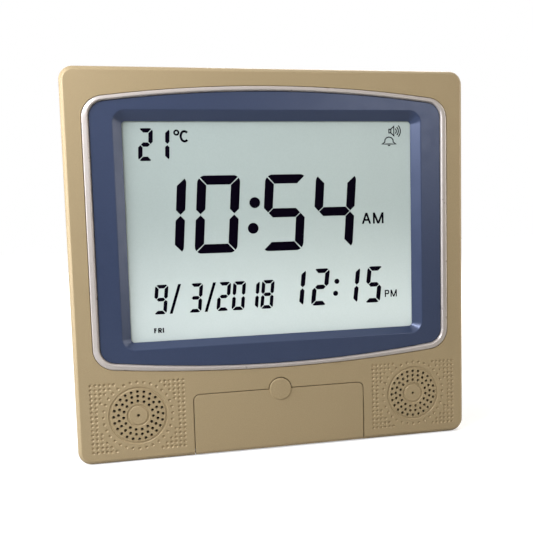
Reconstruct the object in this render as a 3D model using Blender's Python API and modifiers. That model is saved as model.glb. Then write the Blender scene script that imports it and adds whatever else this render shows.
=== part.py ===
"""Digital alarm clock with a wide liquid crystal display, two speakers and a key flap.

X runs from left to right as the display is read, Y from front to back and Z up.
The origin lies under the middle of the clock, on the surface that it stands on.
Lengths are metres. A depth is measured backwards from the gold front face.
"""
import math

import bmesh
import bpy
from mathutils import Matrix, Vector

# Clearances and walls
FIT = 0.0003
OVERRUN = 0.001
MERGE_DISTANCE = 0.00001
WALL = 0.0022
COVER_WALL = 0.0028

# Housing
HOUSING_WIDTH = 0.270
HOUSING_HEIGHT = 0.256
HOUSING_DEPTH = 0.038
HOUSING_CORNER_RADIUS = 0.009
FRONT_EDGE_RADIUS = 0.003
REAR_EDGE_RADIUS = 0.004
SEAM_CLEARANCE = 0.0012
SEAM_GAP = 0.0004
LIP_LENGTH = 0.0018
LIP_ROOT = 0.0018
LIP_THICKNESS = 0.0013

# Display bezel, silver ring and the recess between them and the display
BEZEL_SIDE_BORDER = 0.017
BEZEL_TOP_BORDER = 0.0147
BEZEL_BOTTOM = 0.0597
BEZEL_ARCH_RADIUS = 0.870
BEZEL_CORNER_RADIUS = 0.010
BEZEL_SET_BACK = 0.0003
BEZEL_EDGE = 0.0005
FLANGE_REACH = 0.0056
FLANGE_THICKNESS = 0.0018
RECESS_SIDE_BORDER = 0.0147
RECESS_TOP_BORDER = 0.0128
RECESS_BOTTOM_BORDER = 0.0148
RECESS_RADIUS = 0.008
RECESS_EDGE = 0.0012
RECESS_EDGE_SHOULDER = 0.0004
WINDOW_SIDE_BORDER = 0.0053
WINDOW_TOP_BORDER = 0.0063
WINDOW_BOTTOM_BORDER = 0.0039
WINDOW_RADIUS = 0.0025
WINDOW_DEPTH = 0.0054
WINDOW_LIP = 0.0004
SEAT_MARGIN = 0.004
BOSS_RADIUS = 0.003
BOSS_HEIGHT = 0.0037
RING_WIDTH = 0.0038
RING_RISE = 0.0011
RING_SHOULDER = 0.0008

# Display stack, from the front film to the board behind it
FILM_THICKNESS = 0.0003
SEGMENT_RISE = 0.0004
GLASS_THICKNESS = 0.0011
CELL_SIDE_MARGIN = 0.005
CONTACT_LEDGE = 0.009
INNER_MARGIN = 0.003
STRIP_WIDTH = 0.0037
STRIP_INSET = 0.0008
STRIP_SIDE_INSET = 0.008
FRAME_WALL = 0.003
FRAME_BACK_DEPTH = 0.012
FRAME_EAR_HEIGHT = 0.008
FRAME_EAR_DEPTH = 0.0083
BOARD_THICKNESS = 0.0016
BOARD_SIDE_REACH = 0.0175
BOARD_OVERLAP = 0.0009
DISPLAY_SCREW_INSET = 0.0045
DISPLAY_SCREW_SPREAD = 0.045

# Characters on the display, as shares of the window's half width: lower left corner from
# the middle of the window's lower edge, height, width, stroke, pitch and slope
LAYOUT_HEIGHT_SHARE = 1.4673
CLOCK_X_SHARE = -0.9204
CLOCK_Z_SHARE = 0.5857
CLOCK_HEIGHT_SHARE = 0.5245
CLOCK_WIDTH_SHARE = 0.2918
CLOCK_STROKE_SHARE = 0.0571
CLOCK_PITCH_SHARE = 0.3643
CLOCK_COLON_ROOM_SHARE = 0.1000
CLOCK_DOT_RADIUS_SHARE = 0.0347
ALARM_X_SHARE = 0.0750
ALARM_Z_SHARE = 0.1857
ALARM_HEIGHT_SHARE = 0.2602
ALARM_WIDTH_SHARE = 0.1163
ALARM_STROKE_SHARE = 0.0296
ALARM_PITCH_SHARE = 0.1714
ALARM_COLON_ROOM_SHARE = 0.0541
ALARM_DOT_RADIUS_SHARE = 0.0184
DATE_GROUP_SHARES = (-0.8469, -0.6133, -0.4214)
DATE_Z_SHARE = 0.1827
DATE_HEIGHT_SHARE = 0.2000
DATE_WIDTH_SHARE = 0.0888
DATE_STROKE_SHARE = 0.0224
DATE_PITCH_SHARE = 0.1015
DATE_DASH_STEP_SHARE = 0.1092
DATE_DASH_WIDTH_SHARE = 0.0204
DATE_DASH_LEAN_SHARE = 0.0643
DEGREES_X_SHARE = -0.9031
DEGREES_Z_SHARE = 1.2092
DEGREES_HEIGHT_SHARE = 0.2143
DEGREES_WIDTH_SHARE = 0.0949
DEGREES_STROKE_SHARE = 0.0265
DEGREES_PITCH_SHARE = 0.1092
SEGMENT_GAP_SHARE = 0.0061
CLOCK_SLOPE_SHARE = 0.073
ALARM_SLOPE_SHARE = 0.11
DATE_SLOPE_SHARE = 0.10
DEGREES_SLOPE_SHARE = 0.04
DOT_HEIGHT_SHARES = (0.31, 0.64)
DOT_STEPS = 12

# Parts on the main board
CHIP_RADIUS = 0.010
CHIP_RISE = 0.0022
CHIP_RIM = 0.0008
SOUND_CHIP_WIDTH = 0.020
SOUND_CHIP_RISE = 0.0026
SOUND_CHIP_HEIGHT = 0.008
SOUND_CHIP_X = 0.045
SOUND_CHIP_DROP = 0.040
CRYSTAL_RADIUS = 0.0015
CRYSTAL_LENGTH = 0.008
CRYSTAL_X = 0.022
CRYSTAL_LIFT = 0.0147
CAPACITOR_RADIUS = 0.005
CAPACITOR_LENGTH = 0.012
CAPACITOR_EDGE = 0.0006
CAPACITOR_X = -0.060
CAPACITOR_LIFT = 0.0347
SENSOR_BEAD_RADIUS = 0.0015
SENSOR_STEM_RADIUS = 0.0006
SENSOR_LENGTH = 0.007
SENSOR_X = 0.0
SENSOR_BELOW_GLASS_TOP = 0.0072

# Flap over the keys, with its round finger tab and its hinge along the base
FLAP_TO_SPEAKER = 0.0368
FLAP_TOP = 0.0426
FLAP_CORNER_RADIUS = 0.0032
FLAP_THICKNESS = 0.0022
FLAP_GAP = 0.0005
FLAP_BARREL_RADIUS = 0.003
FLAP_AXIS_HEIGHT = 0.0034
TAB_RADIUS = 0.0075
TAB_RISE = 0.0008
TAB_EDGE = 0.0005
PIN_RADIUS = 0.0006
PIN_INSIDE = 0.004
PIN_OUTSIDE = 0.003

# Pocket behind the flap
FLAP_REST_DEPTH = 0.0025
POCKET_LEDGE = 0.0018
POCKET_WALL = 0.0022
POCKET_CLEARANCE = 0.0020
POCKET_DEPTH = 0.0092
NOTCH_RIM = 0.0015
NOTCH_FLOOR = 0.0018

# Keys, their panel, mat and board
KEY_NAMES = ("mode", "set", "down", "up", "alarm", "volume")
KEY_WIDTH_SHARE = 2 / 3
KEY_END_ROOM = 0.012
KEY_HEIGHT = 0.007
KEY_RADIUS = 0.0016
KEY_EDGE = 0.0004
KEY_Z = 0.026
KEY_RISE = 0.0015
KEY_TRAVEL = 0.0008
KEY_FLANGE = 0.0008
KEY_FLANGE_THICKNESS = 0.0006
PANEL_THICKNESS = 0.0018
PANEL_RIM = 0.0040
PANEL_RIM_LENGTH = 0.0040
MAT_THICKNESS = 0.0010
MAT_DOME_RADIUS = 0.003
KEY_BOARD_THICKNESS = 0.0014
KEY_BOARD_INSET = 0.0004
KEY_SCREW_RADIUS = 0.0009
KEY_SCREW_HEAD_RADIUS = 0.0017
KEY_SCREW_HEAD = 0.0012
KEY_SCREW_REACH = 0.004
RIBBON_WIDTH = 0.014
RIBBON_THICKNESS = 0.0005
RIBBON_X = -0.020
RIBBON_LANDING = 0.007
RIBBON_BEND_SHARE = 0.25

# Speakers and their grilles
SPEAKER_SIDE_INSET = 0.0394
SPEAKER_Z = 0.0315
GRILLE_INNER_RING = 0.00952
GRILLE_MIDDLE_RING = 0.01267
GRILLE_OUTER_RING = 0.01576
GRILLE_RING_HOLES = (15, 21, 24)
GRILLE_HOLE_RADIUS = 0.00075
GROOVE_OUTER_RADIUS = 0.0184
GROOVE_INNER_RADIUS = 0.0068
GROOVE_HALF_WIDTH = 0.0005
SPEAKER_RADIUS = 0.020
SPEAKER_SEAT_WALL = 0.0015
SPEAKER_SEAT_HEIGHT = 0.0028
SPEAKER_RIM_DEPTH = 0.0034
SPEAKER_RIM_THICKNESS = 0.0012
SPEAKER_RIM_WIDTH = 0.0031
SPEAKER_METAL = 0.0009
SPEAKER_WAIST_RADIUS = 0.012
SPEAKER_BASKET_DEPTH = 0.011
CONE_THICKNESS = 0.0005
CONE_NECK_RADIUS = 0.005
CONE_DEPTH = 0.009
CONE_CAP_RISE = 0.0014
CONE_SURROUND_WIDTH = 0.004
MAGNET_RADIUS = 0.011
MAGNET_THICKNESS = 0.006
MAGNET_EDGE = 0.0005

# Posts and screws that close the housing
POST_CORNER_INSET = 0.011
POST_CORNER_LIFT = 0.012
POST_SIDE_INSET = 0.0076
POST_SIDE_LIFT = 0.140
POST_RADIUS = 0.0030
POST_END_INSET = 0.012
POST_BORE_DEPTH = 0.012
WELL_RADIUS = 0.0034
WELL_WALL = 0.0015
WELL_FLOOR = 0.0020
SCREW_RADIUS = 0.0013
SCREW_HEAD_RADIUS = 0.00275
SCREW_HEAD_HEIGHT = 0.0018
SCREW_REACH = 0.012
SCREW_CLEARANCE = 0.0003

# Battery bay, cells, contacts and door
CELL_RADIUS = 0.0071
CELL_LENGTH = 0.0495
CELL_NUB_RADIUS = 0.0027
CELL_NUB_LENGTH = 0.0010
CELL_EDGE = 0.0005
CELL_SPACING = 0.0006
CELL_COUNT = 3
BAY_SIDE_INSET = 0.050
BAY_Z = 0.086
BAY_WALL = 0.0030
BAY_FLOOR = 0.0020
CONTACT_ROOM = 0.0024
CONTACT_THICKNESS = 0.0005
CONTACT_WIDTH = 0.009
CONTACT_DEPTH = 0.010
CONTACT_BUMP_RADIUS = 0.0030
CONTACT_BUMP_RISE = 0.0013
DOOR_THICKNESS = 0.0020
DOOR_OVERLAP = 0.0022
DOOR_GAP = 0.0004
DOOR_GRIP_WIDTH = 0.016
DOOR_GRIP_HEIGHT = 0.0012
DOOR_GRIP_DEPTH = 0.0007
DOOR_GRIP_PITCH = 0.0024
DOOR_GRIP_COUNT = 3

# Folding stand leg
LEG_HALF_WIDTH = 0.026
LEG_FOOT_HALF_WIDTH = 0.020
LEG_AXIS_Z = 0.1255
LEG_FOOT_Z = 0.0072
LEG_PLATE = 0.0024
LEG_BARREL_RADIUS = 0.0020
LEG_SINK = 0.0004
LEG_RIB = 0.0016
LEG_RIB_RISE = 0.0013
LEG_CROSS_RIBS = 4
LEG_GAP = 0.0005
LEG_PIN_RADIUS = 0.0010
LEG_PIN_SEAT = 0.0020
LEG_RECESS_DEPTH = 0.0050
LEG_RECESS_WALL = 0.0036
LEG_RECESS_FLOOR = 0.0024
LEG_RECESS_BOTTOM = 0.006
LEG_RECESS_HEADROOM = 0.0016

# Back face: wall keyholes, vents and the supply inlet
KEYHOLE_X = 0.050
KEYHOLE_BELOW_TOP = 0.051
KEYHOLE_RADIUS = 0.0042
KEYHOLE_SLOT_HALF_WIDTH = 0.0021
KEYHOLE_SLOT_LENGTH = 0.009
VENT_WIDTH = 0.0022
VENT_LENGTH = 0.018
VENT_PITCH = 0.0060
VENT_COUNT = 5
TOP_VENT_BELOW_TOP = 0.030
INLET_SIDE_INSET = 0.040
INLET_Z = 0.080
INLET_WIDTH = 0.010
INLET_HEIGHT = 0.011
INLET_LENGTH = 0.011
INLET_NOSE_RADIUS = 0.0039
INLET_NOSE_LENGTH = 0.0026
INLET_BORE_RADIUS = 0.0028
INLET_BORE_DEPTH = 0.009
INLET_PIN_RADIUS = 0.0010
INLET_PIN_LENGTH = 0.007

# Facets of round shapes
CORNER_STEPS = 6
SMALL_CORNER_STEPS = 4
KEY_CORNER_STEPS = 2
KEY_EDGE_STEPS = 1
ARCH_STEPS = 8
EDGE_STEPS = 3
RING_STEPS = 6
HOLE_SIDES = 6
SCREW_SIDES = 10
POST_SIDES = 10
ROD_SIDES = 16
DISC_SIDES = 24
SPEAKER_SIDES = 20
GROOVE_STEPS = 32
GROOVE_SIDES = 6
SMOOTH_ANGLE = 35

# Places worked out from the sizes above
FRONT_Y = (RING_RISE - HOUSING_DEPTH) / 2
HALF_WIDTH = HOUSING_WIDTH / 2
BEZEL_HALF_WIDTH = HALF_WIDTH - BEZEL_SIDE_BORDER
BEZEL_TOP = HOUSING_HEIGHT - BEZEL_TOP_BORDER
RECESS_HALF_WIDTH = BEZEL_HALF_WIDTH - RECESS_SIDE_BORDER
RECESS_TOP = BEZEL_TOP - RECESS_TOP_BORDER
RECESS_BOTTOM = BEZEL_BOTTOM + RECESS_BOTTOM_BORDER
WINDOW_HALF_WIDTH = RECESS_HALF_WIDTH - WINDOW_SIDE_BORDER
WINDOW_TOP = RECESS_TOP - WINDOW_TOP_BORDER
WINDOW_BOTTOM = RECESS_BOTTOM + WINDOW_BOTTOM_BORDER
BEZEL_BACK = FLAP_REST_DEPTH + FLANGE_THICKNESS
SEAT_DEPTH = WINDOW_DEPTH + WINDOW_LIP
WINDOW_MIDDLE = (WINDOW_TOP + WINDOW_BOTTOM) / 2
FILM_DEPTH = SEAT_DEPTH + FIT
FRONT_GLASS_DEPTH = FILM_DEPTH + FILM_THICKNESS + FIT
REAR_GLASS_DEPTH = FRONT_GLASS_DEPTH + GLASS_THICKNESS + FIT
REFLECTOR_DEPTH = REAR_GLASS_DEPTH + GLASS_THICKNESS + FIT
FRAME_LIP_DEPTH = REFLECTOR_DEPTH + FILM_THICKNESS + FIT
CELL_HALF_WIDTH = WINDOW_HALF_WIDTH + CELL_SIDE_MARGIN
GLASS_TOP = WINDOW_TOP + CONTACT_LEDGE
GLASS_BOTTOM = WINDOW_BOTTOM - CONTACT_LEDGE
BOARD_DEPTH = FRAME_BACK_DEPTH + FIT
BOARD_BACK = BOARD_DEPTH + BOARD_THICKNESS
BOARD_SIDE = WINDOW_HALF_WIDTH + BOARD_SIDE_REACH
DISPLAY_SCREW_X = BOARD_SIDE - DISPLAY_SCREW_INSET
CHIP_Z = WINDOW_MIDDLE
SPEAKER_X = HALF_WIDTH - SPEAKER_SIDE_INSET
FLAP_HALF_WIDTH = SPEAKER_X - FLAP_TO_SPEAKER
POCKET_HALF_WIDTH = FLAP_HALF_WIDTH - POCKET_LEDGE
POCKET_OUTER = FLAP_HALF_WIDTH + FLAP_GAP + POCKET_WALL
POCKET_TOP = FLAP_TOP + POCKET_CLEARANCE
BARREL_TOP = FLAP_AXIS_HEIGHT + FLAP_BARREL_RADIUS
PANEL_DEPTH = POCKET_DEPTH + FIT
PANEL_BACK = PANEL_DEPTH + PANEL_THICKNESS
PANEL_BOTTOM = WALL + FIT
PANEL_TOP = POCKET_TOP + POCKET_WALL
PANEL_RIM_BACK = PANEL_BACK + PANEL_RIM_LENGTH
KEY_BOARD_DEPTH = PANEL_RIM_BACK + FIT
KEY_BOARD_BACK = KEY_BOARD_DEPTH + KEY_BOARD_THICKNESS
SEAM_DEPTH = KEY_BOARD_BACK + SEAM_CLEARANCE + LIP_LENGTH
MAT_DEPTH = KEY_BOARD_DEPTH - FIT - MAT_THICKNESS
KEY_FLANGE_DEPTH = PANEL_BACK + FIT
DOME_DEPTH = KEY_FLANGE_DEPTH + KEY_FLANGE_THICKNESS + KEY_TRAVEL + FIT
KEY_SCREW_X = (POCKET_HALF_WIDTH + POCKET_OUTER) / 2
KEY_PITCH = 2 * (POCKET_HALF_WIDTH - KEY_END_ROOM) / (len(KEY_NAMES) - 1)
KEY_WIDTH = KEY_PITCH * KEY_WIDTH_SHARE
GRILLE_RING_RADII = (GRILLE_INNER_RING, GRILLE_MIDDLE_RING, GRILLE_OUTER_RING)
GROOVE_RADII = (GROOVE_OUTER_RADIUS, GROOVE_INNER_RADIUS)
POST_CORNER_X = HALF_WIDTH - POST_CORNER_INSET
POST_SIDE_X = HALF_WIDTH - POST_SIDE_INSET
POST_UPPER_Z = HOUSING_HEIGHT - POST_CORNER_LIFT
POST_PLACES = (
    ("lower_left", -POST_CORNER_X, POST_CORNER_LIFT),
    ("lower_right", POST_CORNER_X, POST_CORNER_LIFT),
    ("middle_left", -POST_SIDE_X, POST_SIDE_LIFT),
    ("middle_right", POST_SIDE_X, POST_SIDE_LIFT),
    ("upper_left", -POST_CORNER_X, POST_UPPER_Z),
    ("upper_right", POST_CORNER_X, POST_UPPER_Z),
)
POST_END_DEPTH = HOUSING_DEPTH - POST_END_INSET
WELL_FRONT = POST_END_DEPTH + FIT
SCREW_SEAT = WELL_FRONT + WELL_FLOOR
COVER_INSIDE = HOUSING_DEPTH - COVER_WALL
DOOR_DEPTH = HOUSING_DEPTH - DOOR_THICKNESS
CELL_PITCH = 2 * CELL_RADIUS + CELL_SPACING
BAY_HALF_LENGTH = (CELL_LENGTH + CELL_NUB_LENGTH) / 2 + CONTACT_ROOM
BAY_HALF_HEIGHT = CELL_COUNT * CELL_PITCH / 2 + FIT
CELL_DEPTH = DOOR_DEPTH - FIT - CELL_RADIUS
BAY_FLOOR_DEPTH = CELL_DEPTH - CELL_RADIUS - FIT
LEG_BACK = HOUSING_DEPTH - LEG_SINK
LEG_AXIS_DEPTH = LEG_BACK - LEG_BARREL_RADIUS
LEG_FLOOR_DEPTH = HOUSING_DEPTH - LEG_RECESS_DEPTH
LEG_RECESS_HALF_WIDTH = LEG_HALF_WIDTH + LEG_GAP
LEG_RECESS_TOP = LEG_AXIS_Z + LEG_BARREL_RADIUS + LEG_RECESS_HEADROOM
INLET_BODY_BACK = COVER_INSIDE - FIT
INLET_X = HALF_WIDTH - INLET_SIDE_INSET
BAY_X = BAY_SIDE_INSET - HALF_WIDTH
KEYHOLE_Z = HOUSING_HEIGHT - KEYHOLE_BELOW_TOP
TOP_VENT_Z = HOUSING_HEIGHT - TOP_VENT_BELOW_TOP

# Finishes: sRGB colour, roughness, metallic and alpha
FINISHES = {
    "gold_paint": ((178, 159, 128), 0.42, 0.35, 1.0),
    "blue_paint": ((78, 84, 108), 0.45, 0.1, 1.0),
    "silver_paint": ((205, 198, 190), 0.3, 0.6, 1.0),
    "display_film": ((200, 210, 204), 0.4, 0.0, 1.0),
    "clear_glass": ((225, 235, 230), 0.1, 0.0, 0.4),
    "reflector_foil": ((196, 204, 198), 0.3, 0.6, 1.0),
    "white_plastic": ((222, 222, 216), 0.5, 0.0, 1.0),
    "contact_rubber": ((60, 60, 62), 0.8, 0.0, 1.0),
    "board_green": ((38, 84, 52), 0.5, 0.0, 1.0),
    "chip_black": ((26, 26, 28), 0.4, 0.0, 1.0),
    "tinned_steel": ((176, 178, 180), 0.3, 1.0, 1.0),
    "capacitor_sleeve": ((28, 34, 62), 0.35, 0.0, 1.0),
    "panel_brown": ((74, 66, 56), 0.5, 0.0, 1.0),
    "key_cream": ((214, 206, 188), 0.5, 0.0, 1.0),
    "mat_rubber": ((120, 122, 124), 0.7, 0.0, 1.0),
    "ribbon_white": ((214, 214, 208), 0.5, 0.0, 1.0),
    "black_plastic": ((36, 35, 34), 0.55, 0.0, 1.0),
    "cell_wrap": ((54, 96, 70), 0.35, 0.2, 1.0),
    "cone_paper": ((44, 42, 40), 0.85, 0.0, 1.0),
    "ferrite": ((48, 47, 46), 0.6, 0.1, 1.0),
}

DEPTH_TURN = (-math.pi / 2, 0.0, 0.0)
FRONT_PLANE_TURN = (math.pi / 2, 0.0, 0.0)
SIDE_PLANE_TURN = (math.pi / 2, 0.0, math.pi / 2)
ACROSS_TURN = (0.0, math.pi / 2, 0.0)


# Scene, places and finishes

def clear_scene():
    for item in list(bpy.data.objects):
        bpy.data.objects.remove(item, do_unlink=True)


def new_collection(name):
    collection = bpy.data.collections.new(name)
    bpy.context.scene.collection.children.link(collection)
    return collection


clear_scene()
PARTS = new_collection("digital_alarm_clock")
CUTTERS = new_collection("cutters")


def at(x, depth, z):
    """A place given by its depth behind the front face."""
    return Vector((x, FRONT_Y + depth, z))


def linear(channel):
    value = channel / 255
    return value / 12.92 if value <= 0.04045 else ((value + 0.055) / 1.055) ** 2.4


def finish(name):
    """The material of that name, made once."""
    if name in bpy.data.materials:
        return bpy.data.materials[name]
    colour, roughness, metallic, alpha = FINISHES[name]
    material = bpy.data.materials.new(name)
    material.use_nodes = True
    shader = material.node_tree.nodes["Principled BSDF"]
    rgb = [linear(channel) for channel in colour]
    shader.inputs["Base Color"].default_value = (*rgb, 1.0)
    shader.inputs["Roughness"].default_value = roughness
    shader.inputs["Metallic"].default_value = metallic
    shader.inputs["Alpha"].default_value = alpha
    material.diffuse_color = (*rgb, alpha)
    return material


def add_object(name, mesh, location=(0.0, 0.0, 0.0), turn=(0.0, 0.0, 0.0)):
    item = bpy.data.objects.new(name, mesh)
    item.location = location
    item.rotation_euler = turn
    PARTS.objects.link(item)
    return item


def coat(item, finish_name):
    """Gives a piece its finish, and smooth shading on its round faces."""
    item.data.materials.clear()
    item.data.materials.append(finish(finish_name))
    item.data.shade_smooth()
    item.data.set_sharp_from_angle(angle=math.radians(SMOOTH_ANGLE))
    return item


# Shapes

def box(name, size, location):
    """A box by its width, depth and height, centred on the location."""
    mesh = bpy.data.meshes.new(name)
    shape = bmesh.new()
    bmesh.ops.create_cube(shape, size=1.0, matrix=Matrix.Diagonal((*size, 1.0)))
    shape.to_mesh(mesh)
    shape.free()
    return add_object(name, mesh, location)


def block(name, low, high):
    """A box by two opposite corners, each an x, a depth and a z."""
    start = at(*low)
    end = at(*high)
    return box(name, end - start, (start + end) / 2)


def rod(name, radius, length, location, turn, sides=ROD_SIDES):
    """A cylinder along its own Z, turned and centred on the location."""
    mesh = bpy.data.meshes.new(name)
    shape = bmesh.new()
    bmesh.ops.create_cone(
        shape, cap_ends=True, segments=sides, radius1=radius, radius2=radius, depth=length)
    shape.to_mesh(mesh)
    shape.free()
    return add_object(name, mesh, location, turn)


def bolt_hole(name, radius, x, z, front, back, sides=POST_SIDES):
    """A cylinder that runs backwards from one depth to another."""
    return rod(name, radius, back - front, at(x, (front + back) / 2, z), DEPTH_TURN, sides)


def turned(name, profile, x, z, sides=DISC_SIDES):
    """A turned piece on an axis that runs backwards.

    The profile is a list of radius and depth, from the back of the axis round
    the outside to the front of the axis.
    """
    mesh = bpy.data.meshes.new(name)
    points = [(radius, 0.0, depth) for radius, depth in profile]
    edges = [(index, index + 1) for index in range(len(points) - 1)]
    mesh.from_pydata(points, edges, [])
    item = add_object(name, mesh, at(x, 0.0, z), DEPTH_TURN)
    spin = item.modifiers.new("spin", "SCREW")
    spin.steps = sides
    spin.render_steps = sides
    spin.use_merge_vertices = True
    spin.merge_threshold = MERGE_DISTANCE
    return as_mesh(item)


def as_mesh(item):
    """Replaces a curve or a modified object by its plain welded mesh."""
    name = item.name
    evaluated = item.evaluated_get(bpy.context.evaluated_depsgraph_get())
    mesh = bpy.data.meshes.new_from_object(evaluated)
    shape = bmesh.new()
    shape.from_mesh(mesh)
    bmesh.ops.remove_doubles(shape, verts=shape.verts, dist=MERGE_DISTANCE)
    bmesh.ops.recalc_face_normals(shape, faces=shape.faces)
    shape.to_mesh(mesh)
    shape.free()
    matrix = item.matrix_world.copy()
    bpy.data.objects.remove(item, do_unlink=True)
    plain = add_object(name, mesh)
    plain.matrix_world = matrix
    return plain


def sheet(name, outlines, thickness, location, turn=FRONT_PLANE_TURN):
    """Flat outlines given a thickness, an inner outline being a hole."""
    curve = bpy.data.curves.new(name, "CURVE")
    curve.dimensions = "2D"
    curve.fill_mode = "BOTH"
    curve.extrude = thickness / 2
    for outline in outlines:
        spline = curve.splines.new("POLY")
        spline.points.add(len(outline) - 1)
        for point, (across, up) in zip(spline.points, outline):
            point.co = (across, up, 0.0, 1.0)
        spline.use_cyclic_u = True
    return as_mesh(add_object(name, curve, location, turn))


def front_sheet(name, outlines, front, back):
    """Outlines in X and Z, from one depth to another."""
    return sheet(name, outlines, back - front, at(0.0, (front + back) / 2, 0.0))


def side_sheet(name, outline, width, x=0.0):
    """An outline in depth and Z, run across the clock for a width."""
    return sheet(name, [outline], width, at(x, 0.0, 0.0), SIDE_PLANE_TURN)


def lofted_ring(name, loops):
    """A closed frame whose section joins loops of equal length in turn.

    Each loop is an outline in X and Z and its depth.
    """
    mesh = bpy.data.meshes.new(name)
    shape = bmesh.new()
    rows = [[shape.verts.new((x, depth, z)) for x, z in outline] for outline, depth in loops]
    for row, following in zip(rows, rows[1:] + rows[:1]):
        for index in range(len(row)):
            after = (index + 1) % len(row)
            shape.faces.new((row[index], row[after], following[after], following[index]))
    bmesh.ops.recalc_face_normals(shape, faces=shape.faces)
    shape.to_mesh(mesh)
    shape.free()
    return add_object(name, mesh, at(0.0, 0.0, 0.0))


# Outlines

def arc(centre, radius, start, end, steps):
    """Points of an arc between two angles in radians, ends included."""
    angles = [start + (end - start) * step / steps for step in range(steps + 1)]
    return [(centre[0] + radius * math.cos(angle), centre[1] + radius * math.sin(angle))
            for angle in angles]


def arched_top(half_width, top, radius, arch_radius, steps):
    """Right corner, crown and left corner of an arched or a straight top."""
    if arch_radius:
        crown = top - arch_radius
        rise = math.sqrt((arch_radius - radius) ** 2 - (half_width - radius) ** 2)
        lean = math.atan2(rise, half_width - radius)
        corner = crown + rise
        middle = arc((0.0, crown), arch_radius, lean, math.pi - lean, ARCH_STEPS)[1:-1]
    else:
        lean = math.pi / 2
        corner = top - radius
        span = half_width - radius
        middle = [(span - 2 * span * step / ARCH_STEPS, top) for step in range(1, ARCH_STEPS)]
    right = arc((half_width - radius, corner), radius, 0.0, lean, steps)
    left = arc((radius - half_width, corner), radius, math.pi - lean, math.pi, steps)
    return right + middle + left


def framed_outline(half_width, top, bottom, radius, arch_radius=0.0, steps=CORNER_STEPS):
    """An outline with rounded corners and, where asked, arched top and bottom."""
    upper = arched_top(half_width, top, radius, arch_radius, steps)
    lower = arched_top(half_width, -bottom, radius, arch_radius, steps)
    return upper + [(-x, -z) for x, z in lower]


def plain_outline(half_width, top, bottom, radius, steps=CORNER_STEPS):
    """A rounded rectangle about the clock's middle line, with bare sides."""
    corners = (
        (half_width - radius, top - radius, 0.0),
        (radius - half_width, top - radius, math.pi / 2),
        (radius - half_width, bottom + radius, math.pi),
        (half_width - radius, bottom + radius, 3 * math.pi / 2),
    )
    outline = []
    for x, z, start in corners:
        outline += arc((x, z), radius, start, start + math.pi / 2, steps)
    return outline


def moved(outline, across, up):
    return [(x + across, z + up) for x, z in outline]


def bezel_outline(offset):
    return framed_outline(
        BEZEL_HALF_WIDTH + offset, BEZEL_TOP + offset, BEZEL_BOTTOM - offset,
        BEZEL_CORNER_RADIUS + offset, BEZEL_ARCH_RADIUS + offset)


def recess_outline(offset):
    return framed_outline(
        RECESS_HALF_WIDTH + offset, RECESS_TOP + offset, RECESS_BOTTOM - offset,
        RECESS_RADIUS + offset)


def window_outline():
    return framed_outline(WINDOW_HALF_WIDTH, WINDOW_TOP, WINDOW_BOTTOM, WINDOW_RADIUS)


def housing_outline(offset):
    return plain_outline(
        HALF_WIDTH + offset, HOUSING_HEIGHT + offset, -offset, HOUSING_CORNER_RADIUS + offset)


def ribbon_outline(points, thickness):
    """The outline of a strip of even thickness along a path."""
    sides = ([], [])
    for index, point in enumerate(points):
        before = Vector(points[max(index - 1, 0)])
        after = Vector(points[min(index + 1, len(points) - 1)])
        along = (after - before).normalized()
        across = Vector((-along.y, along.x)) * thickness / 2
        sides[0].append(tuple(Vector(point) + across))
        sides[1].append(tuple(Vector(point) - across))
    return sides[0] + sides[1][::-1]


# Joining, cutting and rounding

def grouped(name, items):
    """Gathers separate shapes into one object, to join or cut with at once."""
    mesh = bpy.data.meshes.new(name)
    shape = bmesh.new()
    for item in items:
        part = item.data.copy()
        part.transform(item.matrix_basis)
        shape.from_mesh(part)
        bpy.data.meshes.remove(part)
        bpy.data.objects.remove(item, do_unlink=True)
    shape.to_mesh(mesh)
    shape.free()
    return add_object(name, mesh)


def combine(target, tool, operation):
    PARTS.objects.unlink(tool)
    CUTTERS.objects.link(tool)
    tool.hide_render = True
    tool.display_type = "WIRE"
    step = target.modifiers.new(tool.name, "BOOLEAN")
    step.operation = operation
    step.solver = "EXACT"
    step.object = tool
    return target


def join(target, *items):
    return combine(target, grouped(target.name + "_added", items), "UNION")


def cut(target, *items):
    return combine(target, grouped(target.name + "_removed", items), "DIFFERENCE")


def round_rim(item, depth, radius, steps=EDGE_STEPS):
    """Rounds the edges that lie wholly at one depth."""
    mesh = item.data
    weights = mesh.attributes.new("bevel_weight_edge", "FLOAT", "EDGE")
    level = FRONT_Y + depth
    for edge in mesh.edges:
        ends = [item.matrix_basis @ mesh.vertices[index].co for index in edge.vertices]
        if max(abs(end.y - level) for end in ends) < MERGE_DISTANCE:
            weights.data[edge.index].value = 1.0
    bevel = item.modifiers.new("rounded_rim", "BEVEL")
    bevel.limit_method = "WEIGHT"
    bevel.width = radius
    bevel.segments = steps
    return item


# Housing front

def mirrored_places(x, z):
    return (("left", -x, z), ("right", x, z))


def flap_outline(grown, bottom):
    half = FLAP_HALF_WIDTH + grown
    top = FLAP_TOP + grown
    radius = FLAP_CORNER_RADIUS + grown
    right = arc((half - radius, top - radius), radius, 0.0, math.pi / 2, SMALL_CORNER_STEPS)
    left = arc((radius - half, top - radius), radius, math.pi / 2, math.pi, SMALL_CORNER_STEPS)
    return right + left + [(-half, bottom), (half, bottom)]


def grille_holes(x):
    """The hole in the middle of a grille and the rings of holes round it."""
    places = [(x, SPEAKER_Z)]
    for radius, count in zip(GRILLE_RING_RADII, GRILLE_RING_HOLES):
        for number in range(count):
            angle = math.pi / 2 + 2 * math.pi * number / count
            places.append((x + radius * math.cos(angle), SPEAKER_Z + radius * math.sin(angle)))
    return [bolt_hole("hole", GRILLE_HOLE_RADIUS, hole_x, hole_z, -OVERRUN, WALL + OVERRUN, HOLE_SIDES)
            for hole_x, hole_z in places]


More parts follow.
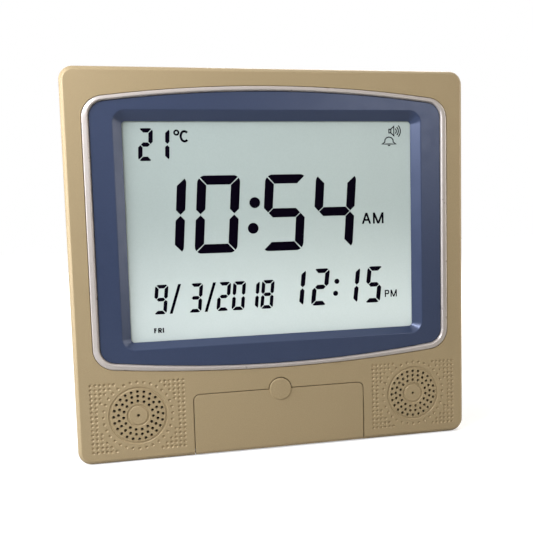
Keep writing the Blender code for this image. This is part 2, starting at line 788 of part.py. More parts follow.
def groove(x, radius):
    """A ring that cuts a round-bottomed groove in the front face."""
    bpy.ops.mesh.primitive_torus_add(
        major_segments=GROOVE_STEPS, minor_segments=GROOVE_SIDES,
        major_radius=radius, minor_radius=GROOVE_HALF_WIDTH)
    ring = bpy.context.object
    mesh = ring.data.copy()
    bpy.data.objects.remove(ring, do_unlink=True)
    return add_object("groove", mesh, at(x, 0.0, SPEAKER_Z), DEPTH_TURN)


def speaker_seat(x):
    inner = SPEAKER_RADIUS + FIT
    outer = inner + SPEAKER_SEAT_WALL
    middle = (x, SPEAKER_Z)
    rings = [arc(middle, radius, 0.0, 2 * math.pi, DISC_SIDES)[:-1] for radius in (outer, inner)]
    return front_sheet("seat", rings, WALL / 2, WALL + SPEAKER_SEAT_HEIGHT)


def flap_pocket():
    """The walls round the pocket behind the flap."""
    outer = [(-POCKET_OUTER, WALL / 2), (POCKET_OUTER, WALL / 2),
             (POCKET_OUTER, POCKET_TOP + POCKET_WALL), (-POCKET_OUTER, POCKET_TOP + POCKET_WALL)]
    inner = [(-POCKET_HALF_WIDTH, BARREL_TOP), (POCKET_HALF_WIDTH, BARREL_TOP),
             (POCKET_HALF_WIDTH, POCKET_TOP), (-POCKET_HALF_WIDTH, POCKET_TOP)]
    return front_sheet("pocket", [outer, inner], WALL / 2, POCKET_DEPTH)


def notch_boss():
    """Part of a disc that backs the notch round the tab, above the pocket."""
    radius = TAB_RADIUS + FLAP_GAP + NOTCH_RIM
    start = math.asin((POCKET_TOP + POCKET_WALL / 2 - FLAP_TOP) / radius)
    rim = arc((0.0, FLAP_TOP), radius, start, math.pi - start, DISC_SIDES // 2)
    return front_sheet("notch_boss", [rim], WALL / 2, FLAP_REST_DEPTH + NOTCH_FLOOR)


def build_front_shell():
    shell = front_sheet("front_shell", [housing_outline(0.0)], 0.0, SEAM_DEPTH)
    round_rim(shell, 0.0, FRONT_EDGE_RADIUS)
    cut(shell, front_sheet("hollow", [housing_outline(-WALL)], WALL, SEAM_DEPTH + OVERRUN))
    posts = [bolt_hole("post", POST_RADIUS, x, z, WALL / 2, POST_END_DEPTH)
             for _, x, z in POST_PLACES]
    seats = [speaker_seat(x) for x in (-SPEAKER_X, SPEAKER_X)]
    join(shell, flap_pocket(), *posts, *seats)
    join(shell, notch_boss())
    opening = bezel_outline(RING_WIDTH + 2 * FIT)
    bores = [bolt_hole("bore", SCREW_RADIUS + SCREW_CLEARANCE, x, z,
                       POST_END_DEPTH - POST_BORE_DEPTH, POST_END_DEPTH + OVERRUN)
             for _, x, z in POST_PLACES]
    key_bores = [bolt_hole("bore", KEY_SCREW_RADIUS + SCREW_CLEARANCE, x, z,
                           POCKET_DEPTH - KEY_SCREW_REACH, POCKET_DEPTH + OVERRUN)
                 for _, x, z in mirrored_places(KEY_SCREW_X, KEY_Z)]
    pin_holes = [rod("pin_hole", PIN_RADIUS + FIT, 2 * PIN_OUTSIDE + OVERRUN,
                     at(side * POCKET_OUTER, FLAP_BARREL_RADIUS, FLAP_AXIS_HEIGHT), ACROSS_TURN, POST_SIDES)
                 for side in (-1, 1)]
    grilles = [hole for x in (-SPEAKER_X, SPEAKER_X) for hole in grille_holes(x)]
    cut(shell, front_sheet("opening", [opening], -OVERRUN, WALL + OVERRUN),
        *bores, *key_bores, *pin_holes, *grilles)
    cut(shell, *[groove(x, radius) for x in (-SPEAKER_X, SPEAKER_X) for radius in GROOVE_RADII])
    cut(shell, front_sheet("flap_opening", [flap_outline(FLAP_GAP, -OVERRUN)],
                           -OVERRUN, FLAP_REST_DEPTH))
    cut(shell, bolt_hole("notch", TAB_RADIUS + FLAP_GAP, 0.0, FLAP_TOP, -OVERRUN, FLAP_REST_DEPTH,
                         DISC_SIDES))
    barrel_half = FLAP_HALF_WIDTH + FLAP_GAP
    cut(shell, block("barrel_room", (-barrel_half, -OVERRUN, -OVERRUN),
                     (barrel_half, 2 * FLAP_BARREL_RADIUS + FLAP_GAP, BARREL_TOP + FLAP_GAP)))
    return coat(shell, "gold_paint")


def build_bezel():
    front = BEZEL_SET_BACK
    loops = [
        (bezel_outline(-BEZEL_EDGE), front),
        (bezel_outline(0.0), front + BEZEL_EDGE),
        (bezel_outline(0.0), FLAP_REST_DEPTH),
        (bezel_outline(FLANGE_REACH), FLAP_REST_DEPTH),
        (bezel_outline(FLANGE_REACH), BEZEL_BACK),
        (recess_outline(SEAT_MARGIN), BEZEL_BACK),
        (recess_outline(SEAT_MARGIN), SEAT_DEPTH),
        (window_outline(), SEAT_DEPTH),
        (window_outline(), WINDOW_DEPTH),
        (recess_outline(-RECESS_EDGE), front + RECESS_EDGE),
        (recess_outline(0.0), front + RECESS_EDGE_SHOULDER),
        (recess_outline(RECESS_EDGE), front),
    ]
    bezel = lofted_ring("bezel", loops)
    bosses = [bolt_hole("boss", BOSS_RADIUS, x, z, BEZEL_BACK - FLANGE_THICKNESS / 2,
                        BEZEL_BACK + BOSS_HEIGHT)
              for x, z in display_screw_places()]
    join(bezel, *bosses)
    bores = [bolt_hole("bore", SCREW_RADIUS + SCREW_CLEARANCE, x, z, BEZEL_BACK + FIT,
                       BEZEL_BACK + BOSS_HEIGHT + OVERRUN)
             for x, z in display_screw_places()]
    cut(bezel, *bores)
    return coat(bezel, "blue_paint")


def build_trim_ring():
    """The silver bead, a half round that stands proud of the gold face."""
    middle = FIT + RING_WIDTH / 2
    loops = [(bezel_outline(FIT), WALL), (bezel_outline(FIT), RING_SHOULDER)]
    for step in range(1, RING_STEPS):
        angle = math.pi * step / RING_STEPS
        offset = middle - math.cos(angle) * RING_WIDTH / 2
        depth = RING_SHOULDER - math.sin(angle) * (RING_SHOULDER + RING_RISE)
        loops.append((bezel_outline(offset), depth))
    loops += [(bezel_outline(FIT + RING_WIDTH), RING_SHOULDER), (bezel_outline(FIT + RING_WIDTH), WALL)]
    return coat(lofted_ring("trim_ring", loops), "silver_paint")


# Display

def display_screw_places():
    return [(side * DISPLAY_SCREW_X, WINDOW_MIDDLE + level * DISPLAY_SCREW_SPREAD)
            for level in (-1, 1) for side in (-1, 1)]


DATE_GROUPS = ("9", "3", "2018")
SEGMENTS_OF = {
    "0": "abcdef", "1": "bc", "2": "abged", "3": "abgcd", "4": "fgbc",
    "5": "afgcd", "8": "abcdefg", "9": "abcdfg",
}


def segment_outlines(digit, x, z, width, height, stroke, slope):
    """The lit segments of one digit, mitred where they meet and leaning right."""
    half = height / 2
    gap = SEGMENT_GAP_SHARE / 2
    nib = stroke / 2
    flat_top = [(gap, 0.0), (width - gap, 0.0), (width - stroke - gap, -stroke), (stroke + gap, -stroke)]
    upright = [(0.0, -gap), (stroke, -stroke - gap), (stroke, nib - half + gap), (nib, gap - half),
               (0.0, nib - half + gap)]
    middle = [(nib + gap, 0.0), (stroke + gap, nib), (width - stroke - gap, nib),
              (width - nib - gap, 0.0), (width - stroke - gap, -nib), (stroke + gap, -nib)]
    places = {
        "a": [(across, height + up) for across, up in flat_top],
        "d": [(across, -up) for across, up in flat_top],
        "g": [(across, half + up) for across, up in middle],
        "f": [(across, height + up) for across, up in upright],
        "b": [(width - across, height + up) for across, up in upright],
        "e": [(across, -up) for across, up in upright],
        "c": [(width - across, -up) for across, up in upright],
    }
    return [[(x + across + up * slope, z + up) for across, up in places[letter]]
            for letter in SEGMENTS_OF[digit]]


def time_digits(text, x, z, pitch, colon_room, size):
    """A row of digits with room for a colon in its middle."""
    outlines = []
    for place, digit in enumerate(text):
        room = colon_room if place >= len(text) // 2 else 0.0
        outlines += segment_outlines(digit, x + place * pitch + room, z, *size)
    return outlines


def clock_segments():
    size = (CLOCK_WIDTH_SHARE, CLOCK_HEIGHT_SHARE, CLOCK_STROKE_SHARE, CLOCK_SLOPE_SHARE)
    digits = time_digits("1054", CLOCK_X_SHARE, CLOCK_Z_SHARE, CLOCK_PITCH_SHARE,
                         CLOCK_COLON_ROOM_SHARE, size)
    colon_x = CLOCK_X_SHARE + 2 * CLOCK_PITCH_SHARE + CLOCK_DOT_RADIUS_SHARE / 2
    return digits + colon_dots(colon_x, CLOCK_Z_SHARE, CLOCK_HEIGHT_SHARE, CLOCK_DOT_RADIUS_SHARE,
                               CLOCK_SLOPE_SHARE)


def alarm_segments():
    size = (ALARM_WIDTH_SHARE, ALARM_HEIGHT_SHARE, ALARM_STROKE_SHARE, ALARM_SLOPE_SHARE)
    digits = time_digits("1215", ALARM_X_SHARE, ALARM_Z_SHARE, ALARM_PITCH_SHARE,
                         ALARM_COLON_ROOM_SHARE, size)
    colon_x = ALARM_X_SHARE + 2 * ALARM_PITCH_SHARE + ALARM_DOT_RADIUS_SHARE / 2
    return digits + colon_dots(colon_x, ALARM_Z_SHARE, ALARM_HEIGHT_SHARE, ALARM_DOT_RADIUS_SHARE,
                               ALARM_SLOPE_SHARE)


def colon_dots(x, z, height, radius, slope):
    return [arc((x + share * height * slope, z + share * height), radius, 0.0, 2 * math.pi,
                DOT_STEPS)[:-1] for share in DOT_HEIGHT_SHARES]


def date_segments():
    """Three groups of digits, with a leaning dash after the first and the second."""
    size = (DATE_WIDTH_SHARE, DATE_HEIGHT_SHARE, DATE_STROKE_SHARE, DATE_SLOPE_SHARE)
    outlines = []
    for start, digits in zip(DATE_GROUP_SHARES, DATE_GROUPS):
        for place, digit in enumerate(digits):
            x = start + place * DATE_PITCH_SHARE
            outlines += segment_outlines(digit, x, DATE_Z_SHARE, *size)
    top = DATE_Z_SHARE + DATE_HEIGHT_SHARE
    for start in DATE_GROUP_SHARES[:-1]:
        left = start + DATE_DASH_STEP_SHARE
        right = left + DATE_DASH_WIDTH_SHARE
        outlines.append([(left, DATE_Z_SHARE), (right, DATE_Z_SHARE),
                         (right + DATE_DASH_LEAN_SHARE, top), (left + DATE_DASH_LEAN_SHARE, top)])
    return outlines


def degree_segments():
    size = (DEGREES_WIDTH_SHARE, DEGREES_HEIGHT_SHARE, DEGREES_STROKE_SHARE, DEGREES_SLOPE_SHARE)
    return time_digits("21", DEGREES_X_SHARE, DEGREES_Z_SHARE, DEGREES_PITCH_SHARE, 0.0, size)


def on_window(outline):
    """Fits an outline drawn in shares of the window's half width to the window."""
    rise = (WINDOW_TOP - WINDOW_BOTTOM) / LAYOUT_HEIGHT_SHARE
    return [(x * WINDOW_HALF_WIDTH, WINDOW_BOTTOM + z * rise) for x, z in outline]


def build_segment_film():
    """The front film of the display, with its dark segments raised on it."""
    outline = plain_outline(WINDOW_HALF_WIDTH + INNER_MARGIN, WINDOW_TOP + INNER_MARGIN,
                            WINDOW_BOTTOM - INNER_MARGIN, WINDOW_RADIUS, EDGE_STEPS)
    film = front_sheet("lcd_segment_film", [outline], FILM_DEPTH, FILM_DEPTH + FILM_THICKNESS)
    outlines = clock_segments() + alarm_segments() + date_segments() + degree_segments()
    marks = [front_sheet("mark", [on_window(outline)], FILM_DEPTH - SEGMENT_RISE,
                         FILM_DEPTH + FILM_THICKNESS / 2)
             for outline in outlines]
    join(film, *marks)
    return coat(film, "display_film")


def pane(name, margin_up, depth, thickness, finish_name):
    """One flat layer of the display stack."""
    outline = plain_outline(CELL_HALF_WIDTH, WINDOW_TOP + margin_up, WINDOW_BOTTOM - margin_up,
                            WINDOW_RADIUS, EDGE_STEPS)
    return coat(front_sheet(name, [outline], depth, depth + thickness), finish_name)


def build_display_layers():
    pane("lcd_front_glass", CONTACT_LEDGE, FRONT_GLASS_DEPTH, GLASS_THICKNESS, "clear_glass")
    pane("lcd_rear_glass", INNER_MARGIN, REAR_GLASS_DEPTH, GLASS_THICKNESS, "clear_glass")
    pane("lcd_reflector", INNER_MARGIN, REFLECTOR_DEPTH, FILM_THICKNESS, "reflector_foil")


def strip_places():
    """The middles of the two rows of contacts, above and below the window."""
    inset = STRIP_INSET + STRIP_WIDTH / 2
    return (("top", GLASS_TOP - inset), ("bottom", GLASS_BOTTOM + inset))


def build_contact_strips():
    front = FRONT_GLASS_DEPTH + GLASS_THICKNESS + FIT
    back = BOARD_DEPTH - FIT
    half = CELL_HALF_WIDTH - STRIP_SIDE_INSET
    for side, z in strip_places():
        strip = block("contact_strip_" + side, (-half, front, z - STRIP_WIDTH / 2),
                      (half, back, z + STRIP_WIDTH / 2))
        coat(strip, "contact_rubber")


def glass_outline(offset):
    return plain_outline(CELL_HALF_WIDTH + offset, GLASS_TOP + offset, GLASS_BOTTOM - offset,
                         WINDOW_RADIUS + offset, EDGE_STEPS)


def build_lcd_frame():
    lip = plain_outline(WINDOW_HALF_WIDTH, WINDOW_TOP, WINDOW_BOTTOM, WINDOW_RADIUS, EDGE_STEPS)
    loops = [
        (glass_outline(FIT), FILM_DEPTH),
        (glass_outline(FIT + FRAME_WALL), FILM_DEPTH),
        (glass_outline(FIT + FRAME_WALL), FRAME_BACK_DEPTH),
        (lip, FRAME_BACK_DEPTH),
        (lip, FRAME_LIP_DEPTH),
        (glass_outline(FIT), FRAME_LIP_DEPTH),
    ]
    frame = lofted_ring("lcd_frame", loops)
    wall_middle = CELL_HALF_WIDTH + FIT + FRAME_WALL / 2
    ear_end = DISPLAY_SCREW_X + BOSS_RADIUS
    ear_size = (ear_end - wall_middle, FRAME_BACK_DEPTH - FRAME_EAR_DEPTH, FRAME_EAR_HEIGHT)
    ear_depth = (FRAME_BACK_DEPTH + FRAME_EAR_DEPTH) / 2
    ear_x = (ear_end + wall_middle) / 2
    ears = [box("ear", ear_size, at(math.copysign(ear_x, x), ear_depth, z))
            for x, z in display_screw_places()]
    join(frame, *ears)
    holes = [bolt_hole("hole", SCREW_RADIUS + SCREW_CLEARANCE, x, z, FRAME_EAR_DEPTH - OVERRUN,
                       FRAME_BACK_DEPTH + OVERRUN)
             for x, z in display_screw_places()]
    half = CELL_HALF_WIDTH - STRIP_SIDE_INSET + FIT
    slots = [block("slot", (-half, FRAME_LIP_DEPTH - OVERRUN, z - STRIP_WIDTH / 2 - FIT),
                   (half, FRAME_BACK_DEPTH + OVERRUN, z + STRIP_WIDTH / 2 + FIT))
             for _, z in strip_places()]
    cut(frame, *holes, *slots)
    return coat(frame, "white_plastic")


# Main board and what it carries

def build_main_board():
    board = block("main_board", (-BOARD_SIDE, BOARD_DEPTH, GLASS_BOTTOM - BOARD_OVERLAP),
                  (BOARD_SIDE, BOARD_BACK, GLASS_TOP + BOARD_OVERLAP))
    holes = [bolt_hole("hole", SCREW_RADIUS + SCREW_CLEARANCE, x, z, BOARD_DEPTH - OVERRUN,
                       BOARD_BACK + OVERRUN)
             for x, z in display_screw_places()]
    cut(board, *holes)
    return coat(board, "board_green")


def build_board_parts():
    seat = BOARD_BACK + FIT
    dome = [(0.0, seat + CHIP_RISE), (CHIP_RADIUS / 2, seat + CHIP_RISE),
            (CHIP_RADIUS, seat + CHIP_RIM), (CHIP_RADIUS, seat), (0.0, seat)]
    coat(turned("clock_chip", dome, 0.0, CHIP_Z), "chip_black")
    middle = at(SOUND_CHIP_X, seat + SOUND_CHIP_RISE / 2, CHIP_Z - SOUND_CHIP_DROP)
    size = (SOUND_CHIP_WIDTH, SOUND_CHIP_RISE, SOUND_CHIP_HEIGHT)
    coat(box("sound_chip", size, middle), "chip_black")
    middle = at(CRYSTAL_X, seat + CRYSTAL_RADIUS, CHIP_Z + CRYSTAL_LIFT)
    coat(rod("clock_crystal", CRYSTAL_RADIUS, CRYSTAL_LENGTH, middle, (0.0, 0.0, 0.0)), "tinned_steel")
    end = seat + CAPACITOR_LENGTH
    can = [(0.0, end), (CAPACITOR_RADIUS - CAPACITOR_EDGE, end), (CAPACITOR_RADIUS, end - CAPACITOR_EDGE),
           (CAPACITOR_RADIUS, seat), (0.0, seat)]
    can_z = CHIP_Z + CAPACITOR_LIFT
    coat(turned("smoothing_capacitor", can, CAPACITOR_X, can_z), "capacitor_sleeve")
    end = seat + SENSOR_LENGTH
    bead = [(0.0, end), (SENSOR_BEAD_RADIUS, end - SENSOR_BEAD_RADIUS),
            (SENSOR_STEM_RADIUS, end - 2 * SENSOR_BEAD_RADIUS), (SENSOR_STEM_RADIUS, seat), (0.0, seat)]
    bead_z = GLASS_TOP - SENSOR_BELOW_GLASS_TOP
    coat(turned("temperature_sensor", bead, SENSOR_X, bead_z, POST_SIDES), "chip_black")


# Screws

def build_screw(name, x, z, seat, radius, head_radius, head, reach):
    """A pan head screw driven in from behind, its head resting at the seat."""
    profile = [
        (0.0, seat + head), (head_radius / 2, seat + head), (head_radius, seat + head / 2),
        (head_radius, seat), (radius, seat), (radius, seat - reach + radius), (0.0, seat - reach)]
    return coat(turned(name, profile, x, z, SCREW_SIDES), "tinned_steel")


def build_screws():
    for name, x, z in POST_PLACES:
        build_screw("case_screw_" + name, x, z, SCREW_SEAT + FIT, SCREW_RADIUS,
                    SCREW_HEAD_RADIUS, SCREW_HEAD_HEIGHT, SCREW_REACH)
    seat = BOARD_BACK + FIT
    reach = seat - BEZEL_BACK - 2 * FIT
    for number, (x, z) in enumerate(display_screw_places(), start=1):
        build_screw("display_screw_%d" % number, x, z, seat, SCREW_RADIUS, SCREW_HEAD_RADIUS,
                    SCREW_HEAD_HEIGHT, reach)
    for side, x, z in mirrored_places(KEY_SCREW_X, KEY_Z):
        seat = KEY_BOARD_BACK + FIT
        reach = seat - POCKET_DEPTH + KEY_SCREW_REACH - FIT
        build_screw("key_board_screw_" + side, x, z, seat, KEY_SCREW_RADIUS,
                    KEY_SCREW_HEAD_RADIUS, KEY_SCREW_HEAD, reach)


# Flap and its pins

def build_flap_door():
    """A plate over a round hinge barrel, turning about the barrel's middle."""
    axis = at(0.0, FLAP_BARREL_RADIUS, FLAP_AXIS_HEIGHT)
    door = front_sheet("flap_door", [flap_outline(0.0, FLAP_AXIS_HEIGHT)], 0.0, FLAP_THICKNESS)
    door.data.transform(Matrix.Translation(-axis) @ door.matrix_basis)
    door.matrix_basis = Matrix.Translation(axis)
    join(door, rod("barrel", FLAP_BARREL_RADIUS, 2 * FLAP_HALF_WIDTH, axis, ACROSS_TURN, DISC_SIDES))
    tab = [(0.0, FLAP_THICKNESS), (TAB_RADIUS, FLAP_THICKNESS), (TAB_RADIUS, TAB_EDGE - TAB_RISE),
           (TAB_RADIUS - TAB_EDGE, -TAB_RISE), (0.0, -TAB_RISE)]
    join(door, turned("tab", tab, 0.0, FLAP_TOP))
    bores = [rod("pin_bore", PIN_RADIUS + FIT, 2 * (PIN_INSIDE + FIT),
                 at(side * FLAP_HALF_WIDTH, FLAP_BARREL_RADIUS, FLAP_AXIS_HEIGHT), ACROSS_TURN, POST_SIDES)
             for side in (-1, 1)]
    cut(door, *bores)
    return coat(door, "gold_paint")


def build_flap_pins():
    for side, name in ((-1, "flap_pin_left"), (1, "flap_pin_right")):
        start = FLAP_HALF_WIDTH - PIN_INSIDE
        end = FLAP_HALF_WIDTH + PIN_OUTSIDE
        middle = at(side * (start + end) / 2, FLAP_BARREL_RADIUS, FLAP_AXIS_HEIGHT)
        coat(rod(name, PIN_RADIUS, end - start, middle, ACROSS_TURN, POST_SIDES), "tinned_steel")


# Keys

def key_places():
    first = -KEY_PITCH * (len(KEY_NAMES) - 1) / 2
    return [(name, first + number * KEY_PITCH) for number, name in enumerate(KEY_NAMES)]


def key_outline(x, grown):
    outline = plain_outline(KEY_WIDTH / 2 + grown, KEY_HEIGHT / 2 + grown, -KEY_HEIGHT / 2 - grown,
                            KEY_RADIUS, KEY_CORNER_STEPS)
    return moved(outline, x, KEY_Z)


def build_keys():
    """Each key cap stands through the panel, with a flange behind it."""
    front = PANEL_DEPTH - KEY_RISE
    flange_back = KEY_FLANGE_DEPTH + KEY_FLANGE_THICKNESS
    for name, x in key_places():
        key = front_sheet("key_" + name, [key_outline(x, 0.0)], front, flange_back)
        round_rim(key, front, KEY_EDGE, KEY_EDGE_STEPS)
        flange = key_outline(x, KEY_FLANGE)
        join(key, front_sheet("flange", [flange], KEY_FLANGE_DEPTH, flange_back))
        coat(key, "key_cream")


def build_key_panel():
    panel = block("key_panel", (-POCKET_OUTER, PANEL_DEPTH, PANEL_BOTTOM),
                  (POCKET_OUTER, PANEL_RIM_BACK, PANEL_TOP))
    cut(panel, block("rim_room", (PANEL_RIM - POCKET_OUTER, PANEL_BACK, PANEL_BOTTOM + PANEL_RIM),
                     (POCKET_OUTER - PANEL_RIM, PANEL_RIM_BACK + OVERRUN, PANEL_TOP - PANEL_RIM)))
    windows = [front_sheet("key_window", [key_outline(x, FIT)], PANEL_DEPTH - OVERRUN, PANEL_BACK + OVERRUN)
               for _, x in key_places()]
    holes = [bolt_hole("hole", KEY_SCREW_RADIUS + SCREW_CLEARANCE, x, z,
                       PANEL_DEPTH - OVERRUN, PANEL_RIM_BACK + OVERRUN)
             for _, x, z in mirrored_places(KEY_SCREW_X, KEY_Z)]
    cut(panel, *windows, *holes)
    return coat(panel, "panel_brown")


def build_key_mat():
    """A rubber mat with one dome behind each key, drawn as it is when pressed."""
    reach = POCKET_OUTER - PANEL_RIM - FIT
    mat = block("key_mat", (-reach, MAT_DEPTH, PANEL_BOTTOM + PANEL_RIM + FIT),
                (reach, MAT_DEPTH + MAT_THICKNESS, PANEL_TOP - PANEL_RIM - FIT))
    domes = [bolt_hole("dome", MAT_DOME_RADIUS, x, KEY_Z, DOME_DEPTH, MAT_DEPTH + MAT_THICKNESS / 2)
             for _, x in key_places()]
    join(mat, *domes)
    return coat(mat, "mat_rubber")


def build_key_board():
    half = POCKET_OUTER - KEY_BOARD_INSET
    board = block("key_board", (-half, KEY_BOARD_DEPTH, PANEL_BOTTOM + KEY_BOARD_INSET),
                  (half, KEY_BOARD_BACK, PANEL_TOP - KEY_BOARD_INSET))
    holes = [bolt_hole("hole", KEY_SCREW_RADIUS + SCREW_CLEARANCE, x, z,
                       KEY_BOARD_DEPTH - OVERRUN, KEY_BOARD_BACK + OVERRUN)
             for _, x, z in mirrored_places(KEY_SCREW_X, KEY_Z)]
    cut(board, *holes)
    return coat(board, "board_green")


def build_key_ribbon():
    """A flat cable from the back of the key board to the back of the main board."""
    low_depth = KEY_BOARD_BACK + FIT + RIBBON_THICKNESS / 2
    high_depth = BOARD_BACK + FIT + RIBBON_THICKNESS / 2
    low = PANEL_TOP - KEY_BOARD_INSET
    high = GLASS_BOTTOM - BOARD_OVERLAP
    bend = (high - low) * RIBBON_BEND_SHARE
    path = [(low_depth, low - RIBBON_LANDING), (low_depth, low), (low_depth, low + bend),
            (high_depth, high - bend), (high_depth, high), (high_depth, high + RIBBON_LANDING)]
    ribbon = side_sheet("key_ribbon", ribbon_outline(path, RIBBON_THICKNESS), RIBBON_WIDTH, RIBBON_X)
    return coat(ribbon, "ribbon_white")


# Speakers

def build_speaker(side, x):
    rim_back = SPEAKER_RIM_DEPTH + SPEAKER_RIM_THICKNESS
    inner_rim = SPEAKER_RADIUS - SPEAKER_RIM_WIDTH
    basket = [
        (0.0, SPEAKER_BASKET_DEPTH), (SPEAKER_WAIST_RADIUS, SPEAKER_BASKET_DEPTH),
        (inner_rim + SPEAKER_METAL, rim_back), (SPEAKER_RADIUS, rim_back),
        (SPEAKER_RADIUS, SPEAKER_RIM_DEPTH), (inner_rim, SPEAKER_RIM_DEPTH),
        (SPEAKER_WAIST_RADIUS - SPEAKER_METAL, SPEAKER_BASKET_DEPTH - SPEAKER_METAL),
        (0.0, SPEAKER_BASKET_DEPTH - SPEAKER_METAL)]
    coat(turned("speaker_basket_" + side, basket, x, SPEAKER_Z, SPEAKER_SIDES), "tinned_steel")
    surround = SPEAKER_RIM_DEPTH - FIT
    outer = SPEAKER_RADIUS - CONE_THICKNESS
    cap = CONE_DEPTH - CONE_CAP_RISE
    cone = [
        (0.0, CONE_DEPTH), (CONE_NECK_RADIUS, CONE_DEPTH), (outer - CONE_SURROUND_WIDTH, surround),
        (outer, surround), (outer, surround - CONE_THICKNESS),
        (outer - CONE_SURROUND_WIDTH, surround - CONE_THICKNESS),
        (CONE_NECK_RADIUS, CONE_DEPTH - 2 * CONE_THICKNESS),
        (CONE_NECK_RADIUS / 2, cap), (0.0, cap - CONE_THICKNESS)]
    coat(turned("speaker_cone_" + side, cone, x, SPEAKER_Z, SPEAKER_SIDES), "cone_paper")
    front = SPEAKER_BASKET_DEPTH + FIT
    back = front + MAGNET_THICKNESS
    magnet = [(0.0, back), (MAGNET_RADIUS - MAGNET_EDGE, back), (MAGNET_RADIUS, back - MAGNET_EDGE),
              (MAGNET_RADIUS, front), (0.0, front)]
    coat(turned("speaker_magnet_" + side, magnet, x, SPEAKER_Z, SPEAKER_SIDES), "ferrite")


# Housing back

def keyhole_outline(x):
    """A round hole for a screw head with a slot above it for the shank."""
    half = math.asin(KEYHOLE_SLOT_HALF_WIDTH / KEYHOLE_RADIUS)
    start = math.pi / 2 + half
    rim = arc((x, KEYHOLE_Z), KEYHOLE_RADIUS, start, start + 2 * math.pi - 2 * half, POST_SIDES)
    top = arc((x, KEYHOLE_Z + KEYHOLE_SLOT_LENGTH), KEYHOLE_SLOT_HALF_WIDTH, 0.0, math.pi, CORNER_STEPS)
    return rim + top


def vents(x, z):
    """A row of upright slots."""
    first = x - VENT_PITCH * (VENT_COUNT - 1) / 2
    middle = COVER_INSIDE + COVER_WALL / 2
    return [box("vent", (VENT_WIDTH, COVER_WALL + 2 * OVERRUN, VENT_LENGTH),
                at(first + number * VENT_PITCH, middle, z))
            for number in range(VENT_COUNT)]


def bay_block():
    half_x = BAY_HALF_LENGTH + BAY_WALL
    half_z = BAY_HALF_HEIGHT + BAY_WALL
    return block("bay", (BAY_X - half_x, BAY_FLOOR_DEPTH - BAY_FLOOR, BAY_Z - half_z),
                 (BAY_X + half_x, COVER_INSIDE + COVER_WALL / 2, BAY_Z + half_z))


def leg_block():
    half = LEG_RECESS_HALF_WIDTH + LEG_RECESS_WALL
    front = LEG_FLOOR_DEPTH - LEG_RECESS_FLOOR
    return block("leg_walls", (-half, front, LEG_RECESS_BOTTOM - LEG_RECESS_FLOOR),
                 (half, COVER_INSIDE + COVER_WALL / 2, LEG_RECESS_TOP + LEG_RECESS_WALL))


def build_rear_cover():
    cover = front_sheet("rear_cover", [housing_outline(0.0)], SEAM_DEPTH + SEAM_GAP, HOUSING_DEPTH)
    round_rim(cover, HOUSING_DEPTH, REAR_EDGE_RADIUS)
    cut(cover, front_sheet("hollow", [housing_outline(-COVER_WALL)], SEAM_DEPTH - OVERRUN, COVER_INSIDE))
    lip = [housing_outline(-WALL - FIT), housing_outline(-WALL - FIT - LIP_THICKNESS)]
    wells = [bolt_hole("well", WELL_RADIUS + WELL_WALL, x, z, WELL_FRONT, COVER_INSIDE + COVER_WALL / 2)
             for _, x, z in POST_PLACES]
    join(cover, front_sheet("lip", lip, SEAM_DEPTH - LIP_LENGTH, SEAM_DEPTH + SEAM_GAP + LIP_ROOT),
         *wells, bay_block(), leg_block())
    well_holes = [bolt_hole("well_hole", WELL_RADIUS, x, z, SCREW_SEAT, HOUSING_DEPTH + OVERRUN)
                  for _, x, z in POST_PLACES]
    bay_low = (BAY_X - BAY_HALF_LENGTH, BAY_FLOOR_DEPTH, BAY_Z - BAY_HALF_HEIGHT)
    bay_high = (BAY_X + BAY_HALF_LENGTH, HOUSING_DEPTH + OVERRUN, BAY_Z + BAY_HALF_HEIGHT)
    leg_low = (-LEG_RECESS_HALF_WIDTH, LEG_FLOOR_DEPTH, LEG_RECESS_BOTTOM)
    leg_high = (LEG_RECESS_HALF_WIDTH, HOUSING_DEPTH + OVERRUN, LEG_RECESS_TOP)
    keyholes = [front_sheet("keyhole", [keyhole_outline(x)], COVER_INSIDE - OVERRUN,
                            HOUSING_DEPTH + OVERRUN)
                for x in (-KEYHOLE_X, KEYHOLE_X)]
    inlet_hole = bolt_hole("inlet_hole", INLET_NOSE_RADIUS + FIT, INLET_X, INLET_Z,
                           COVER_INSIDE - OVERRUN, HOUSING_DEPTH + OVERRUN, ROD_SIDES)
    slots = vents(0.0, TOP_VENT_Z) + vents(-SPEAKER_X, SPEAKER_Z) + vents(SPEAKER_X, SPEAKER_Z)
    cut(cover, *well_holes, block("bay_room", bay_low, bay_high), block("leg_room", leg_low, leg_high),
        *keyholes, inlet_hole, *slots)
    screw_holes = [bolt_hole("screw_hole", SCREW_RADIUS + SCREW_CLEARANCE, x, z,
                             WELL_FRONT - OVERRUN, SCREW_SEAT + OVERRUN)
                   for _, x, z in POST_PLACES]
    pin_half = LEG_RECESS_HALF_WIDTH + LEG_PIN_SEAT
    pin_bore = rod("pin_bore", LEG_PIN_RADIUS + FIT, 2 * (pin_half + FIT),
                   at(0.0, LEG_AXIS_DEPTH, LEG_AXIS_Z), ACROSS_TURN, POST_SIDES)
    half_x = BAY_HALF_LENGTH + DOOR_OVERLAP + DOOR_GAP
    half_z = BAY_HALF_HEIGHT + DOOR_OVERLAP + DOOR_GAP
    rebate = block("rebate", (BAY_X - half_x, DOOR_DEPTH - FIT, BAY_Z - half_z),
                   (BAY_X + half_x, HOUSING_DEPTH + OVERRUN, BAY_Z + half_z))
    cut(cover, *screw_holes, pin_bore, rebate)
    return coat(cover, "black_plastic")


